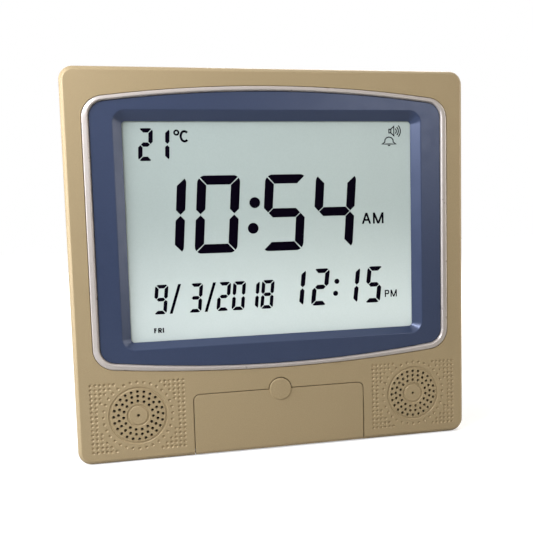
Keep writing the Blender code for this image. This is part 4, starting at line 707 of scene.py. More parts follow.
def new_tree(name, **inputs):
    """A geometry tree with named inputs, and the outputs that give them."""
    tree = bpy.data.node_groups.new(name, "GeometryNodeTree")
    tree.interface.new_socket("Geometry", in_out="OUTPUT", socket_type="NodeSocketGeometry")
    for label, kind in inputs.items():
        tree.interface.new_socket(label, in_out="INPUT", socket_type="NodeSocket" + kind)
    return tree, tree.nodes.new("NodeGroupInput").outputs


def end_tree(tree, geometry, material):
    whole = add(tree, "GeometryNodeRealizeInstances", {"Geometry": geometry})
    coated = add(tree, "GeometryNodeSetMaterial", {"Geometry": whole.outputs[0], "Material": material})
    add(tree, "NodeGroupOutput", {"Geometry": coated.outputs[0]})
    return tree


def tool_copies(tree, points, tool):
    """Sets a copy of the tool at each point."""
    shown = add(tree, "GeometryNodeObjectInfo", {"Object": tool})
    return add(tree, "GeometryNodeInstanceOnPoints",
               {"Points": points, "Instance": shown.outputs["Geometry"]}).outputs[0]


def ring_tree():
    """Copies of a tool on an upright circle, the first one at its top."""
    tree, given = new_tree("copies_in_a_ring", Tool="Object", Radius="Float", Count="Int",
                           Centre="Vector", Finish="Material")
    ring = add(tree, "GeometryNodeMeshCircle", {"Vertices": given["Count"], "Radius": given["Radius"]})
    upright = add(tree, "GeometryNodeTransform", {
        "Geometry": ring.outputs[0], "Translation": given["Centre"],
        "Rotation": (math.pi / 2, -math.pi / 2, 0.0)})
    copies = tool_copies(tree, upright.outputs[0], given["Tool"])
    return end_tree(tree, copies, given["Finish"])


def field_tree():
    """Copies of a tool on an upright grid that stays clear of a circle in its middle."""
    tree, given = new_tree("copies_in_a_field", Tool="Object", Pitch="Float", Columns="Int",
                           Rows="Int", Clear="Float", Centre="Vector", Finish="Material")
    sizes = []
    for count in ("Columns", "Rows"):
        gaps = add(tree, "ShaderNodeMath", {0: given[count], 1: 1.0}, operation="SUBTRACT")
        sizes.append(add(tree, "ShaderNodeMath", {0: gaps.outputs[0], 1: given["Pitch"]},
                         operation="MULTIPLY").outputs[0])
    grid = add(tree, "GeometryNodeMeshGrid", {
        "Size X": sizes[0], "Size Y": sizes[1],
        "Vertices X": given["Columns"], "Vertices Y": given["Rows"]})
    spot = add(tree, "GeometryNodeInputPosition")
    reach = add(tree, "ShaderNodeVectorMath", {0: spot.outputs[0]}, operation="LENGTH")
    near = add(tree, "FunctionNodeCompare", {0: reach.outputs["Value"], 1: given["Clear"]},
               data_type="FLOAT", operation="LESS_THAN")
    kept = add(tree, "GeometryNodeDeleteGeometry", {
        "Geometry": grid.outputs[0], "Selection": near.outputs[0]}, domain="POINT")
    upright = add(tree, "GeometryNodeTransform", {
        "Geometry": kept.outputs[0], "Translation": given["Centre"],
        "Rotation": (math.pi / 2, 0.0, 0.0)})
    copies = tool_copies(tree, upright.outputs[0], given["Tool"])
    return end_tree(tree, copies, given["Finish"])


def row_tree():
    """Copies of a tool at even steps along a line."""
    tree, given = new_tree("copies_in_a_row", Tool="Object", Count="Int", Start="Vector",
                           Step="Vector", Finish="Material")
    line = add(tree, "GeometryNodeMeshLine", {
        "Count": given["Count"], "Start Location": given["Start"], "Offset": given["Step"]},
        mode="OFFSET")
    copies = tool_copies(tree, line.outputs[0], given["Tool"])
    return end_tree(tree, copies, given["Finish"])


def grown(name, tree, **inputs):
    """The plain mesh that a geometry tree makes from its inputs."""
    item = new_object(name, bpy.data.meshes.new(name))
    step = item.modifiers.new(name, "NODES")
    step.node_group = tree
    for socket in tree.interface.items_tree:
        if socket.item_type == "SOCKET" and socket.in_out == "INPUT":
            step[socket.identifier] = inputs[socket.name]
    item.update_tag()
    bpy.context.view_layer.update()
    return settled(item)


# Finishes

def colour(code):
    """The linear colour of an sRGB hex value."""
    channels = [int(code[index:index + 2], 16) / 255 for index in (0, 2, 4)]
    return (*[value / 12.92 if value <= 0.04045 else ((value + 0.055) / 1.055) ** 2.4
              for value in channels], 1.0)


def new_finish(name, roughness, metallic=0.0, **sockets):
    """A material, its tree, its shader and the place of each point on the piece."""
    material = bpy.data.materials.new(name)
    material.use_nodes = True
    tree = material.node_tree
    shader = tree.nodes["Principled BSDF"]
    shader.inputs["Roughness"].default_value = roughness
    shader.inputs["Metallic"].default_value = metallic
    for socket, value in sockets.items():
        shader.inputs[socket.replace("_", " ")].default_value = value
    place_on_piece = add(tree, "ShaderNodeTexCoord").outputs["Object"]
    return material, tree, shader, place_on_piece


def feed(tree, shader, **outputs):
    """Links outputs to the sockets of a shader."""
    for socket, output in outputs.items():
        tree.links.new(output, shader.inputs[socket.replace("_", " ")])


def uneven(tree, where, size, low=0.0, high=1.0, detail=2.0):
    """A value that wanders between two limits, in blots of a size in metres."""
    noise = add(tree, "ShaderNodeTexNoise", {"Vector": where, "Scale": 1.0 / size, "Detail": detail})
    return add(tree, "ShaderNodeMapRange", {
        "Value": noise.outputs["Fac"], "From Min": 0.3, "From Max": 0.7,
        "To Min": low, "To Max": high}).outputs[0]


def mottle(tree, where, size, first, second):
    """Two sRGB colours that blend in blots of a size in metres."""
    return add(tree, "ShaderNodeMix", {
        0: uneven(tree, where, size, detail=3.0), 6: colour(first), 7: colour(second)},
        data_type="RGBA").outputs[2]


def grained(tree, where, size, depth, detail=2.0):
    """The normals of a fine grain, its size and its depth in metres."""
    noise = add(tree, "ShaderNodeTexNoise", {"Vector": where, "Scale": 1.0 / size, "Detail": detail})
    return add(tree, "ShaderNodeBump", {"Height": noise.outputs["Fac"], "Distance": depth}).outputs[0]


# Sizes of the patterns
FLAKE = 0.0005
ORANGE_PEEL = 0.0016
SPARK_GRAIN = 0.00045
DRAWING_MARK = 0.0002
PEARL = 0.0006
FILM_GRAIN = 0.0004
LAYER_PAIR = 0.0006
TRACK_LENGTH = 0.010
CONDUCTOR_PITCH = 0.002
GLASS_TINT = 0.02
PULP = 0.0008
FELT_RIB = 0.0006
# Depths of their relief, and by how much a gloss wanders
FINE_RELIEF = 0.000004
TRACK_RELIEF = 0.00003
WIRE_RELIEF = 0.00005
FELT_RELIEF = 0.00008
GLOSS_DRIFT = 0.03
# Painted light and shade on the display: where its painted paling starts and ends, and its painted
# shade at the left side and painted light at the right
PAINTED_PALING_TOP = 0.170
PAINTED_PALING_BOTTOM = WINDOW_BOTTOM + 0.006
PAINTED_LEFT_SHADE = 0.82
PAINTED_RIGHT_LIGHT = 1.08


def sprayed_paint(name, dark, light, roughness, metallic, peel=0.00002, **sockets):
    """Satin metallic lacquer sprayed on moulded ABS.

    Aluminium flake gives a fine glitter of light and dark specks, drawn at 0.5 mm where
    the real flake is finer. The spray leaves a faint orange peel 1.6 mm across, and its
    gloss wanders over six times that.
    """
    material, tree, shader, where = new_finish(name, roughness, metallic, **sockets)
    gloss = uneven(tree, where, ORANGE_PEEL * 6, roughness - GLOSS_DRIFT, roughness + GLOSS_DRIFT)
    feed(tree, shader, Base_Color=mottle(tree, where, FLAKE, dark, light), Roughness=gloss,
         Normal=grained(tree, where, ORANGE_PEEL, peel))
    return material


def moulded_plastic(name, dark, light, roughness, size=SPARK_GRAIN, depth=0.00004, **sockets):
    """Moulded plastic with the spark-eroded grain of its mould.

    Its tone wanders over 20 grains and its gloss over 4.
    """
    material, tree, shader, where = new_finish(name, roughness, **sockets)
    gloss = uneven(tree, where, size * 4, roughness - GLOSS_DRIFT, roughness + GLOSS_DRIFT)
    feed(tree, shader, Base_Color=mottle(tree, where, size * 20, dark, light), Roughness=gloss,
         Normal=grained(tree, where, size, depth))
    return material


def plated_metal(name, tone, roughness, along=(1.0, 1.0, 1.0)):
    """Plated sheet or wire, with fine drawing marks that run one way."""
    material, tree, shader, where = new_finish(name, roughness, 1.0)
    stretched = add(tree, "ShaderNodeMapping", {"Vector": where, "Scale": along}).outputs[0]
    feed(tree, shader, Base_Color=mottle(tree, stretched, 2 * DRAWING_MARK, tone, "C9CBCC"),
         Roughness=uneven(tree, stretched, 1.5 * DRAWING_MARK, roughness - 0.08, roughness + 0.1),
         Normal=grained(tree, stretched, DRAWING_MARK, FINE_RELIEF))
    return material


def polariser_film():
    """Matt polariser over a reflective display.

    Its colour holds painted light and shade: a painted shade at its top pales to a painted
    light towards its lower edge, and it is painted a little darker at the left and lighter at
    the right. The reflector's grain gives a fine pearl.
    """
    material, tree, shader, where = new_finish("polariser_film", 0.42, Specular_IOR_Level=0.3)
    spot = add(tree, "ShaderNodeSeparateXYZ", {"Vector": where}).outputs
    # Painted light: the film pales from its top towards its lower edge
    painted_paling = add(tree, "ShaderNodeMapRange", {
        "Value": spot["Z"], "From Min": PAINTED_PALING_TOP, "From Max": PAINTED_PALING_BOTTOM},
        interpolation_type="SMOOTHSTEP").outputs[0]
    # The first colour pair is a painted shade, the second a painted light
    tone = add(tree, "ShaderNodeMix", {
        0: painted_paling, 6: mottle(tree, where, PEARL, "B1BCB4", "B6C1B9"),
        7: mottle(tree, where, PEARL, "DAE4DB", "DFE8E0")}, data_type="RGBA").outputs[2]
    # Painted shade at the left side and painted light at the right side
    side = add(tree, "ShaderNodeMapRange", {
        "Value": spot["X"], "From Min": -WINDOW_HALF_WIDTH, "From Max": WINDOW_HALF_WIDTH,
        "To Min": PAINTED_LEFT_SHADE, "To Max": PAINTED_RIGHT_LIGHT}).outputs[0]
    painted_light_and_shade = add(tree, "ShaderNodeVectorMath", {0: tone, "Scale": side}, operation="SCALE")
    feed(tree, shader, Base_Color=painted_light_and_shade.outputs[0],
         Normal=grained(tree, where, FILM_GRAIN, FINE_RELIEF))
    return material


def liquid_crystal():
    """Switched liquid crystal behind the polariser: nearly black, with a trace of violet."""
    material, tree, shader, where = new_finish("liquid_crystal", 0.5, Specular_IOR_Level=0.02)
    feed(tree, shader, Base_Color=mottle(tree, where, 2 * PEARL, "030008", "06020E"))
    return material


def layered_rubber():
    """Contact strip: thin conducting and insulating rubber layers in turn.

    The real layers are 0.05 mm thick, and they are drawn 0.3 mm thick here.
    """
    material, tree, shader, where = new_finish("layered_contact_rubber", 0.75)
    layers = add(tree, "ShaderNodeTexWave", {"Vector": where, "Scale": 1.0 / LAYER_PAIR / math.pi},
                 wave_type="BANDS", bands_direction="X")
    tone = add(tree, "ShaderNodeMix", {
        0: layers.outputs["Fac"], 6: colour("1D1C1E"), 7: colour("8E8B88")}, data_type="RGBA")
    feed(tree, shader, Base_Color=tone.outputs[2])
    return material


def circuit_board():
    """Glass fibre board under green solder mask, with tracks that stand proud below it.

    The tracks are 10 mm long and lie side by side at 1.8 mm.
    """
    material, tree, shader, where = new_finish("solder_masked_board", 0.38, Coat_Weight=0.3)
    upright = add(tree, "ShaderNodeMapping", {
        "Vector": where, "Rotation": (math.pi / 2, 0.0, 0.0)}).outputs[0]
    tracks = add(tree, "ShaderNodeTexBrick", {
        "Vector": upright, "Color1": colour("1E5A38"), "Color2": colour("236642"),
        "Mortar": colour("123D26"), "Scale": 0.9 / TRACK_LENGTH, "Mortar Size": 0.03,
        "Brick Width": 0.9, "Row Height": 0.16}).outputs
    relief = add(tree, "ShaderNodeBump", {"Height": tracks["Fac"], "Distance": -TRACK_RELIEF})
    feed(tree, shader, Base_Color=tracks["Color"], Normal=relief.outputs[0])
    return material


def ribbon_cable():
    """Flat flexible cable: tinned conductors at a 2 mm pitch under a white film."""
    material, tree, shader, where = new_finish("flat_cable", 0.4)
    wires = add(tree, "ShaderNodeTexWave", {
        "Vector": where, "Scale": 1.0 / CONDUCTOR_PITCH / math.pi},
        wave_type="BANDS", bands_direction="X").outputs["Fac"]
    tone = add(tree, "ShaderNodeMix", {
        0: wires, 6: colour("DDDAD0"), 7: colour("A9A8A4")}, data_type="RGBA")
    relief = add(tree, "ShaderNodeBump", {"Height": wires, "Distance": WIRE_RELIEF})
    feed(tree, shader, Base_Color=tone.outputs[2], Normal=relief.outputs[0])
    return material


def clear_glass():
    """Float glass of the display cell, with the faint green of its iron."""
    material, tree, shader, where = new_finish("float_glass", 0.04, Transmission_Weight=0.9, IOR=1.5)
    feed(tree, shader, Base_Color=mottle(tree, where, GLASS_TINT, "E6F2EC", "EEF6F2"))
    return material


def pressed_paper():
    """Loudspeaker cone of brown-black paper pulp, pressed and lightly ribbed by its felt."""
    material, tree, shader, where = new_finish("pressed_paper", 0.95, Specular_IOR_Level=0.08)
    feed(tree, shader, Base_Color=mottle(tree, where, PULP, "241E16", "2E271D"),
         Normal=grained(tree, where, FELT_RIB, FELT_RELIEF, 4.0))
    return material


def make_finishes():
    return {
        # Gold front: warm champagne lacquer, satin, a shade darker in the flake's shadow
        "gold": sprayed_paint("champagne_lacquer", "9A8663", "A6926E", 0.46, 0.12,
                              Specular_IOR_Level=0.25),
        # Bezel: slate blue lacquer, more matt than the gold and nearly without glitter
        "blue": sprayed_paint("slate_blue_lacquer", "202B43", "25314A", 0.36, 0.05,
                              Specular_IOR_Level=0.8, Specular_Tint=colour("D3DAF2")),
        # Bead: bright silver lacquer, the smoothest of the three
        "silver": sprayed_paint("silver_lacquer", "ABA198", "B5ABA2", 0.30, 0.3, peel=0.0,
                                Coat_Weight=0.3, Coat_Roughness=0.15),
        "film": polariser_film(),
        "marks": liquid_crystal(),
        "glass": clear_glass(),
        # Reflector: grey foil with a fine pearly scatter
        "foil": plated_metal("reflector_foil", "B4B8B6", 0.35),
        # Display frame: white ABS, satin and smooth from its mould
        "white": moulded_plastic("white_abs", "D8D8D2", "E0E0DA", 0.45, depth=0.00001),
        "strip": layered_rubber(),
        "board": circuit_board(),
        # Chips: black epoxy, matt and slightly granular from its filler
        "epoxy": moulded_plastic("chip_epoxy", "17171A", "1F1F22", 0.5, size=0.0003),
        "steel": plated_metal("nickel_plated_steel", "A9ABAD", 0.32, (1.0, 6.0, 1.0)),
        # Capacitor: shrunk vinyl sleeve, dark blue and glossy
        "sleeve": moulded_plastic("shrunk_vinyl", "1B2340", "222B4C", 0.3, depth=0.000005,
                                  Coat_Weight=0.4),
        # Key panel: dark brown ABS with a fine grain
        "panel": moulded_plastic("brown_abs", "463F36", "4E463C", 0.52),
        # Keys: cream ABS, smooth, with a low gloss
        "key": moulded_plastic("cream_abs", "CDC4AE", "D6CEBA", 0.4, depth=0.00001),
        # Mat: grey silicone rubber, dusty and soft
        "mat": moulded_plastic("silicone_rubber", "74767A", "7E8084", 0.7, size=0.0008,
                               Sheen_Weight=0.3),
        "ribbon": ribbon_cable(),
        # Rear cover: black ABS with a coarse spark grain that breaks up its gloss
        "black": moulded_plastic("black_abs", "1E1D1C", "242322", 0.55, size=0.0006, depth=0.00012),
        # Inlet and other small mouldings: black nylon, smoother than the cover
        "nylon": moulded_plastic("black_nylon", "171717", "1D1D1D", 0.42, depth=0.00001),
        # Cell: shrunk sleeve in plain green, tight and glossy over the steel can
        "wrap": moulded_plastic("cell_sleeve", "2F6B45", "34754C", 0.28, depth=0.000004,
                                Coat_Weight=0.5),
        # Cell band: the sleeve's plain silver end, which marks the plus pole
        "band": moulded_plastic("cell_band", "A7A9A6", "B3B5B2", 0.3, depth=0.000004, Coat_Weight=0.5),
        # Magnet: sintered ferrite, dark grey with open pores
        "ferrite": moulded_plastic("sintered_ferrite", "2B2A29", "383634", 0.65, size=0.0005,
                                   depth=0.00008),
        "paper": pressed_paper(),
    }


def dress(item, body, finish, slot, *nodes):
    """Coats a finished piece, lets it ride on its body and hides what it stands for."""
    item.data.materials.clear()
    item.data.materials.append(FINISHES[finish])
    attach(item, body)
    if nodes:
        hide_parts(*nodes)
    return item


# Housing front

def tray(name, face, seam, edge, wall, lip=()):
    """A rounded tray, open at the seam: its face lies at one depth and its rim at another.

    The edge and the lip on the rim are points, each an inset and a depth.
    """
    way = 1 if seam > face else -1
    rim = [(inset, face + way * depth) for inset, depth in edge]
    rim += [(0.0, seam - way * EDGE_BREAK), (EDGE_BREAK, seam)]
    rim += list(lip) or [(wall, seam)]
    rim.append((wall, face + way * wall))
    return loft(name, [(housing_line(-inset), depth) for inset, depth in rim])


def eased_cutter(line, edge, front, back):
    """A cutter for an opening whose edge is rounded over by a small radius."""
    loops = [(line(edge), front)]
    loops += [(line(inset), depth) for inset, depth in fillet(edge, 3)]
    loops.append((line(0.0), back))
    return loft("opening", loops)


def grille_corners(x):
    """Lower left and upper right corner of the patterned plate round a speaker."""
    half_width = DIMPLE_PITCH * DIMPLE_COLUMNS / 2 + FIELD_SHIFT
    half_height = DIMPLE_PITCH * DIMPLE_ROWS / 2 + FIELD_DROP
    x, z = x + GRILLE_SHIFT, SPEAKER_Z - GRILLE_DROP
    return (x - half_width, z - half_height), (x + half_width, z + half_height)


def make_grille(x):
    """The field round a speaker: rings of holes, two grooves, and dimples round them."""
    hole = lathe("hole", [(HOLE_RADIUS, 0.0), (HOLE_RADIUS, WALL)], ORIGIN, BACKWARDS, HOLE_SIDES)
    dish = [(DIMPLE_RADIUS * (1 - share), DIMPLE_DEPTH * (1 - (1 - share) ** DISH_POWER))
            for share in (0.0, 1 / 3, 2 / 3, 1.0)]
    dimple = lathe("dimple", dish, ORIGIN, BACKWARDS, DIMPLE_SIDES)
    ring, field = ring_tree(), field_tree()
    centre = place(x + GRILLE_SHIFT, 0.0, SPEAKER_Z - GRILLE_DROP)
    field_centre = centre + Vector((FIELD_SHIFT, 0.0, -FIELD_DROP))
    middle = hole.copy()
    middle.data = hole.data.copy()
    middle.data.transform(Matrix.Translation(centre))
    inserts = [middle]
    rings = [("holes", hole, radius, count) for radius, count in HOLE_RINGS]
    rings.append(("ring_dimples", dimple, DIMPLE_RING, DIMPLE_RING_COUNT))
    for name, tool, radius, count in rings:
        inserts.append(grown(name, ring, Tool=tool, Radius=radius, Count=count, Centre=centre,
                             Finish=FINISHES["gold"]))
    inserts.append(grown("field_dimples", field, Tool=dimple, Pitch=DIMPLE_PITCH,
                         Columns=DIMPLE_COLUMNS, Rows=DIMPLE_ROWS, Clear=DIMPLE_CLEAR,
                         Centre=field_centre, Finish=FINISHES["gold"]))
    for radius in GROOVES:
        profile = [(radius + GROOVE_HALF_WIDTH * math.cos(angle), GROOVE_DEPTH * math.sin(angle))
                   for angle in [math.pi * step / 6 for step in range(7)]]
        inserts.append(lathe("groove", profile, centre, BACKWARDS, 96))
    discard(hole, dimple)
    return plate("grille", *grille_corners(x), WALL, inserts)


def shell_pocket():
    """The four walls of the pocket behind the flap."""
    outer, inner, top = POCKET_OUTER, POCKET_HALF_WIDTH, POCKET_TOP + POCKET_WALL
    return sheet([
        [(-outer, WALL / 2), (outer, WALL / 2), (outer, top), (-outer, top)],
        [(-inner, BARREL_TOP), (inner, BARREL_TOP), (inner, POCKET_TOP), (-inner, POCKET_TOP)],
    ], WALL / 2, POCKET_DEPTH)


def shell_insides():
    """Posts, speaker seats and the backing of the tab's notch."""
    posts = [bore(POST_RADIUS, x, z, WALL / 2, POST_END) for x, z in POSTS]
    inner = SPEAKER_RADIUS + FIT
    seats = [sheet([circle(x, SPEAKER_Z, inner + SEAT_WALL, 64), circle(x, SPEAKER_Z, inner, 64)],
                   WALL / 2, WALL + SEAT_HEIGHT) for x in (-SPEAKER_X, SPEAKER_X)]
    radius = TAB_RADIUS + FLAP_GAP + NOTCH_RIM
    start = math.asin((POCKET_TOP + POCKET_WALL / 2 - FLAP_TOP) / radius)
    boss = sheet([arc((0.0, FLAP_TOP), radius, start, math.pi - start, 24)], WALL / 2, NOTCH_BACK)
    return posts + seats, boss


def flap_rooms():
    """Cutters for the flap, for its tab and for the hinge barrel."""
    flap = eased_cutter(lambda edge: flap_line(FLAP_GAP + edge, -OVERRUN), FIT, -OVERRUN, FLAP_REST)
    tab = eased_cutter(lambda edge: circle(0.0, FLAP_TOP, TAB_RADIUS + FLAP_GAP + edge, 72), FIT,
                       -OVERRUN, FLAP_REST)
    half = FLAP_HALF_WIDTH + FLAP_GAP
    barrel = block((-half, -OVERRUN, -OVERRUN),
                   (half, 2 * BARREL_RADIUS + FLAP_GAP, BARREL_TOP + FLAP_GAP))
    return flap, tab, barrel


def make_front_shell():
    shell = tray("housing_front", 0.0, SEAM, soft_chamfer(FRONT_FILLET), WALL)
    rounds, boss = shell_insides()
    shell = joined(shell, shell_pocket(), *rounds)
    shell = joined(shell, boss)
    opening = eased_cutter(opening_line, FIT, -OVERRUN, WALL + OVERRUN)
    bores = [bore(POST_BORE, x, z, POST_END - POST_BORE_LENGTH, POST_END + OVERRUN, 20)
             for x, z in POSTS]
    pins = [rod(PIN_RADIUS + FIT, 2 * PIN_OUTSIDE + OVERRUN,
                place(side * POCKET_OUTER, BARREL_DEPTH, BARREL_Z), ACROSS, 16)
            for side in (-1, 1)]
    shell = cut(shell, opening, *bores, *pins)
    for room in flap_rooms():
        shell = cut(shell, room)
    fields = [grille_corners(x) for x in (-SPEAKER_X, SPEAKER_X)]
    shell = cut(shell, *[block((low[0], -OVERRUN, low[1]), (high[0], WALL + HAIR, high[1]))
                         for low, high in fields])
    grilles = [make_grille(x) for x in (-SPEAKER_X, SPEAKER_X)]
    shell = together("housing_front", [welded(shell, ROUNDING)] + grilles)
    dress(smoothed(shell), "housing", "gold", "gold_paint", "front_shell")


def make_bezel():
    face = BEZEL_SET_BACK
    loops = [(bezel_line(-inset), face + depth) for inset, depth in fillet(BEZEL_FILLET, 4)]
    loops += [
        (bezel_line(0.0), BEZEL_FLANGE_FRONT),
        (bezel_line(BEZEL_FLANGE), BEZEL_FLANGE_FRONT),
        (bezel_line(BEZEL_FLANGE), BEZEL_BACK),
        (recess_line(SEAT_MARGIN), BEZEL_BACK),
        (recess_line(SEAT_MARGIN), SEAT_DEPTH),
        (window_line(0.0), SEAT_DEPTH),
        (window_line(0.0), WINDOW_DEPTH),
    ]
    # The edge of the recess is the half of a quarter round that turns by 45 degrees
    shoulder = fillet(RECESS_FILLET, 10)[:6]
    loops += [(recess_line(inset - RECESS_FILLET / 2), face + depth)
              for inset, depth in reversed(shoulder)]
    bezel = loft("bezel_frame", loops, closed=True)
    dress(smoothed(bezel), "housing", "blue", "blue_paint", "bezel")


def make_bead():
    """The silver bead: a steep inner flank, a crest and a long slope to the gold face."""
    inner, outer = bezel_line(BEAD_GAP), opening_line(-BEAD_GAP)
    loops = [(inner, WALL)]
    for step in range(BEAD_STEPS + 1):
        share = step / BEAD_STEPS
        if share < BEAD_CREST_SHARE:
            up = math.sin(share / BEAD_CREST_SHARE * math.pi / 2) ** BEAD_CREST_POWER
        else:
            past = (share - BEAD_CREST_SHARE) / (1 - BEAD_CREST_SHARE)
            up = (1 - BEAD_SLOPE_SHARE * past) * math.sqrt(1 - past ** BEAD_SLOPE_POWER)
        depth = BEAD_SHOULDER - up * (BEAD_SHOULDER + BEAD_RISE)
        line = [tuple(Vector(near).lerp(Vector(far), share)) for near, far in zip(inner, outer)]
        loops.append((line, depth))
    loops.append((outer, WALL))
    bead = smoothed(loft("bead_ring", loops, closed=True), BEAD_TURN)
    dress(bead, "housing", "silver", "silver_paint", "trim_ring")


# Display

SEGMENTS_OF = {
    "0": "abcdef", "1": "bc", "2": "abged", "3": "abgcd", "4": "fgbc",
    "5": "afgcd", "8": "abcdefg", "9": "abcdfg",
}


def segments(digit, x, z, width, height, stroke, slope):
    """The lit segments of one digit, mitred where they meet, its outer corners cut off."""
    half = height / 2
    gap = SEGMENT_GAP / 2
    nib = stroke / 2
    curve = stroke * CORNER_SHARE
    turns = [math.radians(CORNER_START + (90 - CORNER_START) * step / 3) for step in range(4)]
    bend = [(curve * (1 - math.cos(turn)) + gap, curve * (math.sin(turn) - 1)) for turn in turns]
    flat_top = (bend + [(width - across, up) for across, up in reversed(bend)]
                + [(width - stroke - gap, -stroke), (stroke + gap, -stroke)])
    upright = ([(-up, -across) for across, up in bend]
               + [(0.0, nib - half + gap), (nib, gap - half), (stroke, nib - half + gap),
                  (stroke, -stroke - gap)])
    middle = [(nib + gap, 0.0), (stroke + gap, nib), (width - stroke - gap, nib),
              (width - nib - gap, 0.0), (width - stroke - gap, -nib), (stroke + gap, -nib)]
    shapes = {
        "a": [(across, height + up) for across, up in flat_top],
        "d": [(across, -up) for across, up in flat_top],
        "g": [(across, half + up) for across, up in middle],
        "f": [(across, height + up) for across, up in upright],
        "b": [(width - across, height + up) for across, up in upright],
        "e": [(across, -up) for across, up in upright],
        "c": [(width - across, -up) for across, up in upright],
    }
    return [[(x + across + up * slope, z + up) for across, up in shapes[letter]]
            for letter in SEGMENTS_OF[digit]]


# Digits: text, x of each digit's lower left corner, z, width, height, stroke and slope
DIGIT_ROWS = (
    ("1054", (-0.0902, -0.0545, -0.0090, 0.0262), 0.1355, 0.0286, 0.0515, 0.0061, 0.073),
    ("1215", (0.00735, 0.0242, 0.04625, 0.06295), 0.0966, 0.0114, 0.0255, 0.0031, 0.11),
    ("932018", (-0.0830, -0.0601, -0.0413, -0.0311, -0.0216, -0.0114), 0.0963, 0.0087, 0.0196,
     0.0024, 0.10),
    ("21", (-0.0885, -0.0778), 0.1969, 0.0093, 0.0210, 0.0028, 0.04),
)
DOTS = ((-0.0130, 0.16845, 0.00365), (-0.01455, 0.1513, 0.00365), (0.0432, 0.11275, 0.0018),
        (0.0421, 0.1044, 0.0018))
DASHES = (-0.0724, -0.0492)
DASH_Z = 0.0963
DASH_HEIGHT = 0.0196
DASH_LEAN = 0.0063
DASH_WIDTH = 0.0020
# Letters as strokes in a box that is 1 by 1, each with the share of the height that it is wide
BOWL = arc((0.70, 0.73), 0.27, math.pi / 2, -math.pi / 2, 10)
LETTERS = {
    "A": (0.86, [[(0.0, 0.0), (0.5, 1.0)], [(0.5, 1.0), (1.0, 0.0)], [(0.16, 0.32), (0.84, 0.32)]]),
    "M": (1.0, [[(0.0, 0.0), (0.0, 1.0)], [(0.0, 1.0), (0.5, 0.0)], [(0.5, 0.0), (1.0, 1.0)],
                [(1.0, 1.0), (1.0, 0.0)]]),
    "P": (0.74, [[(0.0, 0.0), (0.0, 1.0)], [(0.0, 1.0)] + BOWL + [(0.0, 0.46)]]),
    "F": (0.72, [[(0.0, 0.0), (0.0, 1.0)], [(0.0, 1.0), (1.0, 1.0)], [(0.0, 0.52), (0.86, 0.52)]]),
    "R": (0.88, [[(0.0, 0.0), (0.0, 1.0)], [(0.0, 1.0)] + BOWL + [(0.0, 0.46)],
                 [(0.46, 0.46), (1.0, 0.0)]]),
    "I": (0.24, [[(0.5, 0.0), (0.5, 1.0)]]),
    "C": (0.92, [[(0.5 + 0.5 * math.cos(turn), 0.5 + 0.5 * math.sin(turn))
                  for turn in [math.radians(44 + 272 * step / 20) for step in range(21)]]]),
}
# Words: text, left, right, lower and upper edge, and width of the strokes
WORDS = (
    ("AM", 0.0620, 0.0779, 0.1520, 0.1597, 0.00135),
    ("PM", 0.0781, 0.0871, 0.1000, 0.1050, 0.00085),
    ("FRI", -0.0830, -0.0766, 0.0839, 0.0872, 0.00090),
    ("C", -0.0614, -0.0550, 0.2086, 0.2166, 0.00150),
)
LETTER_SPACE = 0.18
MITRE_LIMIT = 0.45
DEGREE = (-0.0634, 0.2150)
DEGREE_RADII = (0.0020, 0.0008)
# Plain signs in thin strokes: a loudspeaker with three waves, and a bell below it
SIGN_STROKES = (
    ((0.0830, 0.2144), (0.0826, 0.2144), (0.0826, 0.2169), (0.0840, 0.2169), (0.0840, 0.2144),
     (0.0830 + HAIR, 0.2144)),
    ((0.0840, 0.2169), (0.0862, 0.2189), (0.0862, 0.2124), (0.0840, 0.2144)),
    ((0.0826, 0.2068), (0.0876, 0.2068), (0.0857, 0.2081), (0.0855, 0.2098), (0.0844, 0.2111),
     (0.0826, 0.2116), (0.0808, 0.2111), (0.0797, 0.2098), (0.0795, 0.2081), (0.0776, 0.2068),
     (0.0826 - HAIR, 0.2068)),
    ((0.0817, 0.2058), (0.0835, 0.2058)),
)
SIGN_WIDTH = 0.00075
WAVE_CENTRE = (0.0856, 0.21565)
WAVE_RADII = (0.0024, 0.0039, 0.0054)


def stroke_outline(points, width):
    """The outline of a stroke along a path; one straight stroke that climbs ends level."""
    points = [Vector(point) for point in points]
    step = points[-1] - points[0]
    if len(points) == 2 and abs(step.y) > abs(step.x) / 3:
        aside = Vector((width / 2 * step.length / abs(step.y), 0.0))
        return [tuple(point) for point in (points[0] - aside, points[0] + aside,
                                           points[1] + aside, points[1] - aside)]
    sides = ([], [])
    for index, point in enumerate(points):
        before = points[max(index - 1, 0)]
        after = points[min(index + 1, len(points) - 1)]
        into = (point - before if index else after - point).normalized()
        out = (after - point if index < len(points) - 1 else point - before).normalized()
        aside = Vector((-into.y - out.y, into.x + out.x)).normalized()
        reach = width / 2 / max(aside.dot(Vector((-into.y, into.x))), MITRE_LIMIT)
        sides[0].append(tuple(point + aside * reach))
        sides[1].append(tuple(point - aside * reach))
    return sides[0] + sides[1][::-1]


def lettering(text, left, right, low, high, width):
    """The strokes of a word, fitted to a box."""
    outlines = []
    total = sum(LETTERS[letter][0] for letter in text) + LETTER_SPACE * (len(text) - 1)
    inset = width / 2
    scale = (right - left) / total
    start = left
    for letter in text:
        share, strokes = LETTERS[letter]
        reach = share * scale - width
        for stroke in strokes:
            level = 0.0 if len(stroke) == 2 and stroke[0][1] != stroke[1][1] else inset
            path = [(start + inset + across * reach, low + level + up * (high - low - 2 * level))
                    for across, up in stroke]
            outlines.append(stroke_outline(path, width))
        start += (share + LETTER_SPACE) * scale
    return outlines


